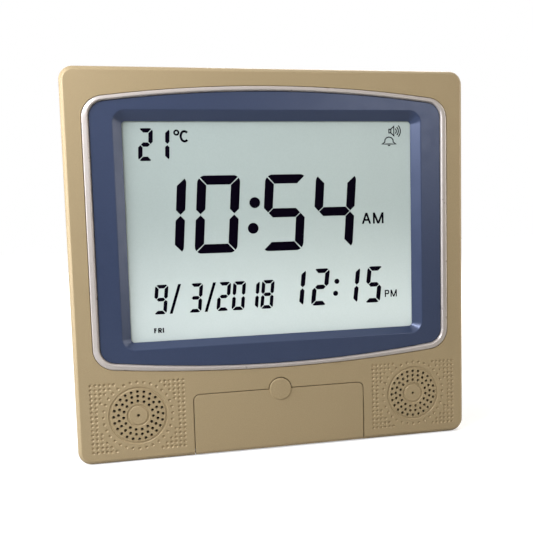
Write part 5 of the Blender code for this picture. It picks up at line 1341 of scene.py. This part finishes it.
def mark_outlines():
    """Outlines of all that the display shows, but for its degree sign, which has a hole."""
    outlines = []
    for text, starts, z, width, height, stroke, slope in DIGIT_ROWS:
        for digit, x in zip(text, starts):
            outlines += segments(digit, x, z, width, height, stroke, slope)
    outlines += [circle(x, z, radius, 48) for x, z, radius in DOTS]
    for x in DASHES:
        outlines.append([(x, DASH_Z), (x + DASH_WIDTH, DASH_Z),
                         (x + DASH_WIDTH + DASH_LEAN, DASH_Z + DASH_HEIGHT),
                         (x + DASH_LEAN, DASH_Z + DASH_HEIGHT)])
    paths = list(SIGN_STROKES) + [arc(WAVE_CENTRE, radius, -math.pi / 4, math.pi / 4, 12)
                                  for radius in WAVE_RADII]
    outlines += [stroke_outline(path, SIGN_WIDTH) for path in paths]
    for word in WORDS:
        outlines += lettering(*word)
    return outlines


def make_display():
    outline = rounded(-WINDOW_HALF_WIDTH - FILM_MARGIN, WINDOW_HALF_WIDTH + FILM_MARGIN,
                      WINDOW_BOTTOM - FILM_MARGIN, WINDOW_TOP + FILM_MARGIN, WINDOW_CORNER, 6)
    film = sheet([outline], FILM_DEPTH, FILM_DEPTH + FILM_THICKNESS, "display_film")
    dress(film, "housing", "film", "display_film", "lcd_segment_film")
    front = FILM_DEPTH - MARK_RISE
    pieces = [sheet([shape], front, FILM_DEPTH) for shape in mark_outlines()]
    ring = [circle(*DEGREE, radius, 32) for radius in DEGREE_RADII]
    pieces.append(sheet(ring, front, FILM_DEPTH))
    dress(together("display_marks", pieces), "housing", "marks", "display_film")


# Flap

def make_flap():
    """Flap with a rounded edge, a round finger tab and its hinge barrel."""
    foot = BARREL_Z + FIT
    edge = fillet(FLAP_FILLET, 4)
    loops = [(flap_line(-inset, foot), depth) for inset, depth in edge]
    loops += [(flap_line(-inset, foot), FLAP_THICKNESS - depth) for inset, depth in reversed(edge)]
    flap = loft("key_flap", loops)
    half = FLAP_HALF_WIDTH
    left = [(0.0, -half)] + [(BARREL_RADIUS - inset, depth - half) for inset, depth in edge]
    right = [(radius, -along) for radius, along in reversed(left)]
    barrel = lathe("barrel", left + right, place(0.0, BARREL_DEPTH, BARREL_Z), ACROSS, 64)
    flap = joined(flap, barrel)
    face = [(TAB_RADIUS - inset, depth - TAB_RISE) for inset, depth in fillet(TAB_FILLET, 6)]
    profile = [(0.0, -TAB_RISE)] + face + [(TAB_RADIUS, FLAP_THICKNESS), (0.0, FLAP_THICKNESS)]
    tab = lathe("tab", profile, place(0.0, 0.0, FLAP_TOP), BACKWARDS, 96)
    flap = joined(flap, tab)
    pins = [rod(PIN_RADIUS + FIT, 2 * (PIN_INSIDE + FIT), place(side * half, BARREL_DEPTH, BARREL_Z),
                ACROSS, 16) for side in (-1, 1)]
    flap = cut(flap, *pins)
    dress(smoothed(flap), "flap_door", "gold", "gold_paint", "flap_door")


# Keys and their panel

def key_line(x, offset):
    low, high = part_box("key_mode")
    half_width = (high.x - low.x) / 2 - KEY_FLANGE
    half_height = (high.z - low.z) / 2 - KEY_FLANGE
    z = middle_of("key_mode").z
    return rounded(x - half_width - offset, x + half_width + offset, z - half_height - offset,
                   z + half_height + offset, KEY_CORNER + offset, 8)


def key_sign(name, x, z, front):
    """A small engraved arrow head on the keys that count up and down."""
    up = KEY_SIGN if name == "up" else -KEY_SIGN
    outline = arrow_head(x, z - up / 2, KEY_SIGN, 1.5 * up)
    return sheet([outline], front - OVERRUN, front + KEY_FILLET / 2)


def make_keys():
    for name in KEY_NAMES:
        node = "key_" + name
        low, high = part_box(node)
        middle = middle_of(node)
        front, back = low.y - FRONT_Y, high.y - FRONT_Y
        loops = [(key_line(middle.x, -inset), front + depth)
                 for inset, depth in fillet(KEY_FILLET, 4)]
        loops += [(key_line(middle.x, 0.0), KEY_FLANGE_DEPTH),
                  (key_line(middle.x, KEY_FLANGE), KEY_FLANGE_DEPTH),
                  (key_line(middle.x, KEY_FLANGE), back)]
        key = loft("key_cap_" + name, loops)
        if name in ("up", "down"):
            key = cut(key, key_sign(name, middle.x, middle.z, front))
        dress(smoothed(key), node, "key", "key_cream", node)


def make_key_panel():
    back = PANEL_HIGH.y - FRONT_Y
    panel = block((PANEL_LOW.x, PANEL_DEPTH, PANEL_LOW.z), (PANEL_HIGH.x, back, PANEL_HIGH.z))
    panel.name = "key_surround"
    room = block((PANEL_LOW.x + PANEL_RIM, PANEL_DEPTH + PANEL_THICKNESS, PANEL_LOW.z + PANEL_RIM),
                 (PANEL_HIGH.x - PANEL_RIM, back + OVERRUN, PANEL_HIGH.z - PANEL_RIM))
    edge = ((FIT + 2 * EDGE_BREAK, PANEL_DEPTH - EDGE_BREAK), (FIT, PANEL_DEPTH + EDGE_BREAK),
            (FIT, PANEL_DEPTH + PANEL_THICKNESS + OVERRUN))
    windows = [loft("window", [(key_line(middle_of("key_" + name).x, gap), depth)
                               for gap, depth in edge]) for name in KEY_NAMES]
    screw = middle_of("key_board_screw_right")
    holes = [bore(KEY_SCREW_RADIUS + FIT, x, screw.z, PANEL_DEPTH - OVERRUN, back + OVERRUN, 20)
             for x in (-screw.x, screw.x)]
    panel = cut(panel, room, *windows, *holes)
    dress(smoothed(panel), "housing", "panel", "panel_brown", "key_panel")


# Back

def keyhole_line(x, offset=0.0):
    radius = KEYHOLE_RADIUS + offset
    slot = KEYHOLE_SLOT + offset
    half = math.asin(slot / radius)
    start = math.pi / 2 + half
    rim = arc((x, KEYHOLE_Z), radius, start, start + 2 * math.pi - 2 * half, 40)
    return rim + arc((x, KEYHOLE_Z + KEYHOLE_RISE), slot, 0.0, math.pi, 16)


def vent_tools():
    """Cutters for three rows of upright slots with round ends."""
    slot = sheet([rounded(-VENT_WIDTH / 2, VENT_WIDTH / 2, -VENT_LENGTH / 2, VENT_LENGTH / 2,
                          VENT_WIDTH / 2, 6)], -FRONT_Y - COVER_WALL - OVERRUN, -FRONT_Y + OVERRUN)
    tree = row_tree()
    tools = []
    for x, z in ((0.0, TOP_VENT_Z), (-SPEAKER_X, SPEAKER_Z), (SPEAKER_X, SPEAKER_Z)):
        start = place(x - VENT_PITCH * (VENT_COUNT - 1) / 2, BACK, z)
        tools.append(grown("vents", tree, Tool=slot, Count=VENT_COUNT, Start=start,
                           Step=Vector((VENT_PITCH, 0.0, 0.0)), Finish=FINISHES["black"]))
    discard(slot)
    return tools


def bay_block(margin, front, back):
    """A box round the battery bay, wider and higher than it by a margin on each side."""
    half_x, half_z = BAY_HALF_LENGTH + margin, BAY_HALF_HEIGHT + margin
    return block((BAY_X - half_x, front, BAY_Z - half_z), (BAY_X + half_x, back, BAY_Z + half_z))


def leg_axle(radius, half_length, sides):
    """A rod on the hinge axis of the stand leg."""
    return rod(radius, 2 * half_length, place(0.0, LEG_AXIS_DEPTH, LEG_AXIS_Z), ACROSS, sides)


def cover_insides(back):
    """Screw wells, the battery bay and the backing of the leg's recess."""
    wells = [bore(WELL_RADIUS + WELL_WALL, x, z, WELL_FRONT, back) for x, z in POSTS]
    half = LEG_RECESS_HALF_WIDTH + LEG_WALL
    leg = block((-half, LEG_RECESS_DEPTH - LEG_FLOOR, LEG_RECESS_BOTTOM - LEG_FLOOR),
                (half, back, LEG_RECESS_TOP + LEG_WALL))
    return wells + [bay_block(BAY_WALL, BAY_FLOOR - BAY_PLATE, back), leg]


def cover_rooms(behind):
    """Cutters for what opens to the back, from the screw wells to the vents."""
    through = BACK - COVER_WALL - OVERRUN
    rooms = [bore(WELL_RADIUS, x, z, SCREW_SEAT, behind) for x, z in POSTS]
    rooms.append(bay_block(0.0, BAY_FLOOR, behind))
    rooms.append(block((-LEG_RECESS_HALF_WIDTH, LEG_RECESS_DEPTH, LEG_RECESS_BOTTOM),
                       (LEG_RECESS_HALF_WIDTH, behind, LEG_RECESS_TOP)))
    rooms += [sheet([keyhole_line(x)], through, behind) for x in (-KEYHOLE_X, KEYHOLE_X)]
    rooms.append(bore(INLET_NOSE + FIT, INLET_X, INLET_Z, through, behind, 48))
    label = rounded(-LABEL_HALF_WIDTH, LABEL_HALF_WIDTH, LABEL_Z - LABEL_HALF_HEIGHT,
                    LABEL_Z + LABEL_HALF_HEIGHT, LABEL_CORNER, 8)
    rooms.append(sheet([label], BACK - LABEL_DEPTH, behind))
    return rooms + vent_tools()


def cover_dishes(behind):
    """Cutters for the dishes round the keyholes and the inlet, and for the border groove."""
    dish = BACK - DISH_DEPTH
    dishes = [sheet([keyhole_line(x, KEYHOLE_RIM)], dish, behind) for x in (-KEYHOLE_X, KEYHOLE_X)]
    dishes.append(bore(INLET_DISH, INLET_X, INLET_Z, dish, behind, 64))
    border = [housing_line(-BORDER_INSET), housing_line(-BORDER_INSET - BORDER_WIDTH)]
    dishes.append(sheet(border, BACK - BORDER_DEPTH, behind))
    return dishes


def make_rear_cover():
    rim = SEAM + SEAM_GAP
    lip_outside = WALL + FIT
    lip_inside = lip_outside + LIP_THICKNESS
    lip = [(lip_outside, rim), (lip_outside, LIP_FRONT), (lip_inside, LIP_FRONT),
           (lip_inside, rim + LIP_LENGTH), (COVER_WALL, rim + LIP_LENGTH)]
    cover = tray("housing_back", BACK, rim, fillet(REAR_FILLET), COVER_WALL, lip)
    cover = joined(cover, *cover_insides(BACK - COVER_WALL / 2))
    behind = BACK + OVERRUN
    cover = cut(cover, *cover_rooms(behind))
    cover = cut(cover, *cover_dishes(behind))
    rebate = bay_block(DOOR_OVERLAP + DOOR_GAP, DOOR_DEPTH - FIT, behind)
    holes = [bore(SCREW_RADIUS + FIT, x, z, WELL_FRONT - OVERRUN, SCREW_SEAT + OVERRUN, 20)
             for x, z in POSTS]
    axle = leg_axle(LEG_PIN_RADIUS + FIT, LEG_RECESS_HALF_WIDTH + LEG_PIN_SEAT + FIT, 20)
    cover = cut(cover, rebate, *holes, axle)
    dress(smoothed(cover), "housing", "black", "black_plastic", "rear_cover")


def grip_tools(x, depth, top):
    """Cutters for a few short grip grooves, one below the other."""
    line = rounded(-GRIP_HALF_WIDTH, GRIP_HALF_WIDTH, -GRIP_HALF_HEIGHT, GRIP_HALF_HEIGHT,
                   GRIP_HALF_HEIGHT, 6)
    grip = loft("grip", [(line, -FRONT_Y - GRIP_DEPTH), (line, -FRONT_Y + OVERRUN)])
    grips = grown("grips", row_tree(), Tool=grip, Count=GRIP_COUNT, Start=place(x, depth, top),
                  Step=Vector((0.0, 0.0, -GRIP_PITCH)), Finish=FINISHES["black"])
    discard(grip)
    return grips


def make_battery_door():
    """Door with a rounded lower edge that it tilts about, grip grooves and an arrow head."""
    nose = DOOR_THICKNESS / 2
    low, high = BAY_LOW.z, BAY_HIGH.z
    middle = DOOR_DEPTH + nose
    section = arc((middle, low + nose), nose, math.pi, 2 * math.pi, 16)
    section += [(BACK, high - EDGE_BREAK), (BACK - EDGE_BREAK, high), (DOOR_DEPTH, high)]
    door = profile_bar("bay_door", section, BAY_LOW.x, BAY_HIGH.x)
    grips = grip_tools(BAY_X, BACK, high - GRIP_PITCH)
    arrow = sheet([arrow_head(BAY_X, high - ARROW_DROP, ARROW_HALF_WIDTH, -ARROW_LENGTH)],
                  BACK - GRIP_DEPTH, BACK + OVERRUN)
    door = cut(door, grips, arrow)
    dress(smoothed(door), "battery_door", "black", "black_plastic", "battery_door")


def cell_profile(half):
    """Radius and place along the axis, from the pip to the sunk plate at the other end."""
    top = half - CELL_PIP
    return [(0.0, half), (CELL_PIP_RADIUS - EDGE_BREAK, half),
            (CELL_PIP_RADIUS, half - EDGE_BREAK), (CELL_PIP_RADIUS, top),
            (CELL_GROOVE - CELL_STEP, top), (CELL_GROOVE, top - EDGE_BREAK),
            (CELL_GROOVE + CELL_STEP, top), (CELL_RADIUS - CELL_STEP, top),
            (CELL_RADIUS, top - CELL_STEP), (CELL_RADIUS, top - CELL_BAND),
            (CELL_RADIUS, CELL_HEEL - half), (CELL_RADIUS - CELL_HEEL, -half),
            (CELL_FOOT, -half), (CELL_FOOT - CELL_STEP, CELL_FOOT_DISH - half),
            (0.0, CELL_FOOT_DISH - half)]


def make_cells():
    """Cells with a steel can, a pip, an insulating ring and a plain sleeve."""
    for number in (1, 2, 3):
        node = "battery_%d" % number
        centre = middle_of(node)
        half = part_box(node)[1].x - centre.x
        way = 1 if number % 2 else -1
        turn = Matrix.Rotation(way * math.pi / 2, 4, "Y")
        cell = smoothed(lathe("cell_%d" % number, cell_profile(half), centre, turn, 64))
        dress(cell, "housing", "wrap", "cell_wrap", node)
        cell.data.materials.append(FINISHES["steel"])
        cell.data.materials.append(FINISHES["band"])
        for face in cell.data.polygons:
            spot = face.center - centre
            if math.hypot(spot.y, spot.z) < CELL_RADIUS - 2 * CELL_STEP:
                face.material_index = 1
            elif way * spot.x > half - CELL_PIP - CELL_BAND:
                face.material_index = 2


def leg_ribs(half_width, start, length):
    """Bevelled bars across the hidden side of the leg, at even steps from its foot."""
    rib = bevelled(block((-half_width, -FRONT_Y - RIB_RISE, -RIB_HALF_WIDTH),
                         (half_width, -FRONT_Y + RIB_BURY, RIB_HALF_WIDTH)), RIB_EDGE)
    step = Vector((0.0, 0.0, (length - 2 * RIB_START) / (RIB_COUNT - 1)))
    ribs = grown("ribs", row_tree(), Tool=rib, Count=RIB_COUNT, Start=start, Step=step,
                 Finish=FINISHES["black"])
    discard(rib)
    return ribs


def make_leg():
    """Stand leg: a tapered plate, stiffened by ribs on its hidden side."""
    front = LEG_BACK - LEG_PLATE
    foot = LEG_FOOT_HALF_WIDTH
    radius = LEG_CORNER
    outline = [(LEG_HALF_WIDTH, LEG_AXIS_Z), (-LEG_HALF_WIDTH, LEG_AXIS_Z)]
    outline += arc((radius - foot, LEG_FOOT_Z + radius), radius, math.pi, 1.5 * math.pi, 10)
    outline += arc((foot - radius, LEG_FOOT_Z + radius), radius, 1.5 * math.pi, 2 * math.pi, 10)
    leg = bevelled(sheet([outline], front, LEG_BACK, "easel_leg"), EDGE_BREAK)
    leg = joined(leg, leg_axle(LEG_BARREL, LEG_HALF_WIDTH, 48))
    length = LEG_AXIS_Z - LEG_FOOT_Z
    leg = joined(leg, leg_ribs(foot - RIB_MARGIN, place(0.0, front, LEG_FOOT_Z + RIB_START), length))
    lean = (LEG_HALF_WIDTH - foot) / length
    low, high = LEG_FOOT_Z + LEG_PANEL_FOOT, LEG_AXIS_Z - LEG_PANEL_HEAD
    panel = [(side * (foot + lean * (z - LEG_FOOT_Z) - LEG_PANEL_MARGIN), z)
             for side, z in ((1, low), (1, high), (-1, high), (-1, low))]
    leg = cut(leg, sheet([panel], LEG_BACK - LABEL_DEPTH, LEG_BACK + OVERRUN),
              grip_tools(0.0, LEG_BACK, LEG_FOOT_Z + LEG_GRIP_RISE))
    leg = cut(leg, leg_axle(LEG_PIN_RADIUS + FIT, LEG_HALF_WIDTH + OVERRUN, 24))
    dress(smoothed(leg), "stand_leg", "black", "black_plastic", "stand_leg")


def make_case_screws():
    """Six pan head screws with a cross recess."""
    head = [(0.0, SCREW_HEAD_RISE)]
    head += [(SCREW_HEAD_RADIUS * share, SCREW_HEAD_RISE * (1 - SCREW_HEAD_DROP_SHARE * share ** 4))
             for share in (0.3, 0.6, 0.8, 0.92, 1.0)]
    head += [(SCREW_HEAD_RADIUS, 0.0), (SCREW_RADIUS, 0.0), (SCREW_RADIUS, SCREW_RADIUS - SCREW_REACH),
             (0.0, -SCREW_REACH)]
    screw = lathe("screw", head, ORIGIN, BACKWARDS, 32)
    top = SCREW_HEAD_RISE + OVERRUN - FRONT_Y
    deep = SCREW_HEAD_RISE - CROSS_DEPTH - FRONT_Y
    for half_x, half_z in ((CROSS_LENGTH / 2, CROSS_WIDTH / 2), (CROSS_WIDTH / 2, CROSS_LENGTH / 2)):
        screw = cut(screw, block((-half_x, deep, -half_z), (half_x, top, half_z)))
    spots = add_mesh("spots", [place(x, SCREW_SEAT + FIT, z) for x, z in POSTS], [])
    tree, given = new_tree("copies_at_spots", Spots="Object", Tool="Object", Finish="Material")
    points = add(tree, "GeometryNodeObjectInfo", {"Object": given["Spots"]}).outputs["Geometry"]
    end_tree(tree, tool_copies(tree, points, given["Tool"]), given["Finish"])
    screws = grown("case_screws", tree, Spots=spots, Tool=screw, Finish=FINISHES["steel"])
    discard(screw, spots)
    dress(smoothed(screws), "housing", "steel", "tinned_steel",
          *["case_screw_" + name for name in POST_NAMES])


def make_inlet():
    """Supply inlet with a round nose and a centre pin."""
    front = INLET_LOW.y - FRONT_Y
    back = BACK - COVER_WALL - FIT
    body = bevelled(block((INLET_LOW.x, front, INLET_LOW.z), (INLET_HIGH.x, back, INLET_HIGH.z)),
                    INLET_EDGE)
    body.name = "supply_socket"
    axis = place(INLET_X, 0.0, INLET_Z)
    nose = [(0.0, back - OVERRUN), (INLET_NOSE, back - OVERRUN), (INLET_NOSE, INLET_END - EDGE_BREAK),
            (INLET_NOSE - EDGE_BREAK, INLET_END), (0.0, INLET_END)]
    inlet = joined(body, lathe("nose", nose, axis, BACKWARDS, 48))
    floor = INLET_END - INLET_BORE_LENGTH
    inlet = cut(inlet, bore(INLET_BORE, INLET_X, INLET_Z, floor, INLET_END + OVERRUN, 48))
    dress(smoothed(inlet), "housing", "nylon", "black_plastic", "dc_inlet")
    radius = INLET_PIN_RADIUS
    tip = floor + INLET_PIN_LENGTH
    pin = [(0.0, floor - OVERRUN), (radius, floor - OVERRUN), (radius, tip - INLET_PIN_TAPER),
           (INLET_PIN_TIP, tip), (0.0, tip)]
    pin = smoothed(lathe("socket_pin", pin, axis, BACKWARDS, 32))
    dress(pin, "housing", "steel", "tinned_steel")


# Finishes of the solids that keep their shape

NODE_FINISHES = {
    "glass": ("lcd_front_glass", "lcd_rear_glass"),
    "foil": ("lcd_reflector",),
    "white": ("lcd_frame",),
    "strip": ("contact_strip_top", "contact_strip_bottom"),
    "board": ("main_board", "key_board"),
    "epoxy": ("clock_chip", "sound_chip", "temperature_sensor"),
    "sleeve": ("smoothing_capacitor",),
    "mat": ("key_mat",),
    "ribbon": ("key_ribbon",),
    "ferrite": ("speaker_magnet_left", "speaker_magnet_right"),
    "paper": ("speaker_cone_left", "speaker_cone_right"),
    "steel": ("clock_crystal", "flap_pin_left", "flap_pin_right", "leg_pin",
              "speaker_basket_left", "speaker_basket_right",
              "display_screw_1", "display_screw_2", "display_screw_3", "display_screw_4",
              "key_board_screw_left", "key_board_screw_right",
              "battery_contact_plus", "battery_contact_link_left", "battery_contact_link_right",
              "battery_contact_minus"),
}


def coat_solids():
    """Gives the solids that stay as they are the finish of the real ones."""
    for finish, names in NODE_FINISHES.items():
        for name in names:
            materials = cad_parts[name].data.materials
            materials.clear()
            materials.append(FINISHES[finish])


# Studio

WORLD_LIGHT = 0.07
FLOOR_REACH = 3.0
FLOOR_BLOT = 0.3
FLOOR_LIFT = 0.5
FADE_START = 0.15
FADE_END = 0.75
CAMERA_PLACE = Vector((-0.0784, -0.41765, 0.1575))
CAMERA_RIGHT = Vector((0.98373, -0.17746, -0.02781))
CAMERA_UP = Vector((0.04121, 0.07229, 0.99653))
CAMERA_LENS = 41.05
CAMERA_SENSOR = 36.0
# Lamps: name, place, what it faces, width and height, power and colour
LAMPS = (
    ("key_softbox", (-0.44, -0.28, 0.50), (0.0, 0.0, 0.14), (0.25, 0.25), 5.3, "EEF3FF"),
    ("left_strip", (-0.68, -0.05, 0.20), (-0.12, 0.0, 0.12), (0.2, 0.5), 4.0, "EEF3FF"),
    ("right_strip", (0.78, -0.06, 0.22), (0.0, 0.0, 0.15), (0.16, 0.8), 3.3, "FFFAF2"),
    ("right_haze", (0.74, -1.5, 0.54), (0.0, 0.0, 0.15), (0.5, 0.4), 3.4, "FFFBF4"),
    ("top_softbox", (0.05, -0.12, 0.95), (0.0, 0.0, 0.1), (0.8, 0.3), 1.2, "FFFFFF"),
    ("back_softbox", (0.5, 1.0, 1.1), (0.0, 0.0, 0.12), (0.9, 0.6), 14.0, "FFFFFF"),
)


def make_lamp(name, location, target, size, power, tint):
    """A soft rectangular lamp that faces the target."""
    lamp = bpy.data.lights.new(name, "AREA")
    lamp.shape = "RECTANGLE"
    lamp.size, lamp.size_y = size
    lamp.energy = power
    lamp.color = colour(tint)[:3]
    item = new_object(name, lamp)
    item.location = location
    item.rotation_euler = (Vector(target) - Vector(location)).to_track_quat("-Z", "Y").to_euler()


def make_world():
    """A white backdrop for the camera and for reflections, and a grey one for the light."""
    world = bpy.data.worlds.new("studio")
    world.use_nodes = True
    tree = world.node_tree
    tree.nodes.clear()
    rays = add(tree, "ShaderNodeLightPath").outputs
    seen = rays["Is Camera Ray"]
    for ray in ("Is Glossy Ray", "Is Transmission Ray"):
        seen = add(tree, "ShaderNodeMath", {0: seen, 1: rays[ray]}, operation="MAXIMUM").outputs[0]
    grey, white = [add(tree, "ShaderNodeBackground", {"Color": colour("FFFFFF"), "Strength": strength})
                   for strength in (WORLD_LIGHT, 1.0)]
    both = add(tree, "ShaderNodeMixShader", {0: seen, 1: grey.outputs[0], 2: white.outputs[0]})
    add(tree, "ShaderNodeOutputWorld", {"Surface": both.outputs[0]})
    bpy.context.scene.world = world


def make_floor():
    """Plain pale floor that fades into the backdrop and keeps the clock's shadow."""
    reach = FLOOR_REACH
    floor = add_mesh("floor", [(-reach, -reach, 0.0), (reach, -reach, 0.0), (reach, reach, 0.0),
                               (-reach, reach, 0.0)], [(0, 1, 2, 3)])
    material, tree, shader, where = new_finish("studio_floor", 0.9, Specular_IOR_Level=0.0,
                                               Emission_Color=colour("FFFFFF"))
    rays = add(tree, "ShaderNodeLightPath").outputs
    away = add(tree, "ShaderNodeVectorMath", {0: where}, operation="LENGTH").outputs["Value"]
    pale = add(tree, "ShaderNodeMapRange", {
        "Value": away, "From Min": FADE_START, "From Max": FADE_END,
        "To Min": FLOOR_LIFT, "To Max": 1.0}, interpolation_type="SMOOTHSTEP").outputs[0]
    lift = add(tree, "ShaderNodeMath", {0: rays["Is Camera Ray"], 1: pale}, operation="MULTIPLY")
    feed(tree, shader, Base_Color=mottle(tree, where, FLOOR_BLOT, "CFCFCD", "D4D4D2"),
         Emission_Strength=lift.outputs[0])
    floor.data.materials.append(material)


def make_camera():
    camera = bpy.data.cameras.new("camera")
    camera.lens = CAMERA_LENS
    camera.sensor_width = CAMERA_SENSOR
    camera.sensor_fit = "HORIZONTAL"
    camera.clip_start = 0.01
    item = new_object("camera", camera)
    right = CAMERA_RIGHT.normalized()
    back = right.cross(CAMERA_UP).normalized()
    up = back.cross(right)
    turn = Matrix((right, up, back)).transposed().to_4x4()
    item.matrix_world = Matrix.Translation(CAMERA_PLACE) @ turn
    bpy.context.scene.camera = item


def make_studio():
    make_world()
    make_floor()
    make_camera()
    for lamp in LAMPS:
        make_lamp(*lamp)


def make_clock():
    coat_solids()
    make_front_shell()
    make_bezel()
    make_bead()
    make_display()
    make_flap()
    make_keys()
    make_key_panel()
    make_rear_cover()
    make_battery_door()
    make_cells()
    make_leg()
    make_case_screws()
    make_inlet()


bpy.context.scene.view_settings.view_transform = "Standard"
FINISHES = make_finishes()
make_studio()
make_clock()
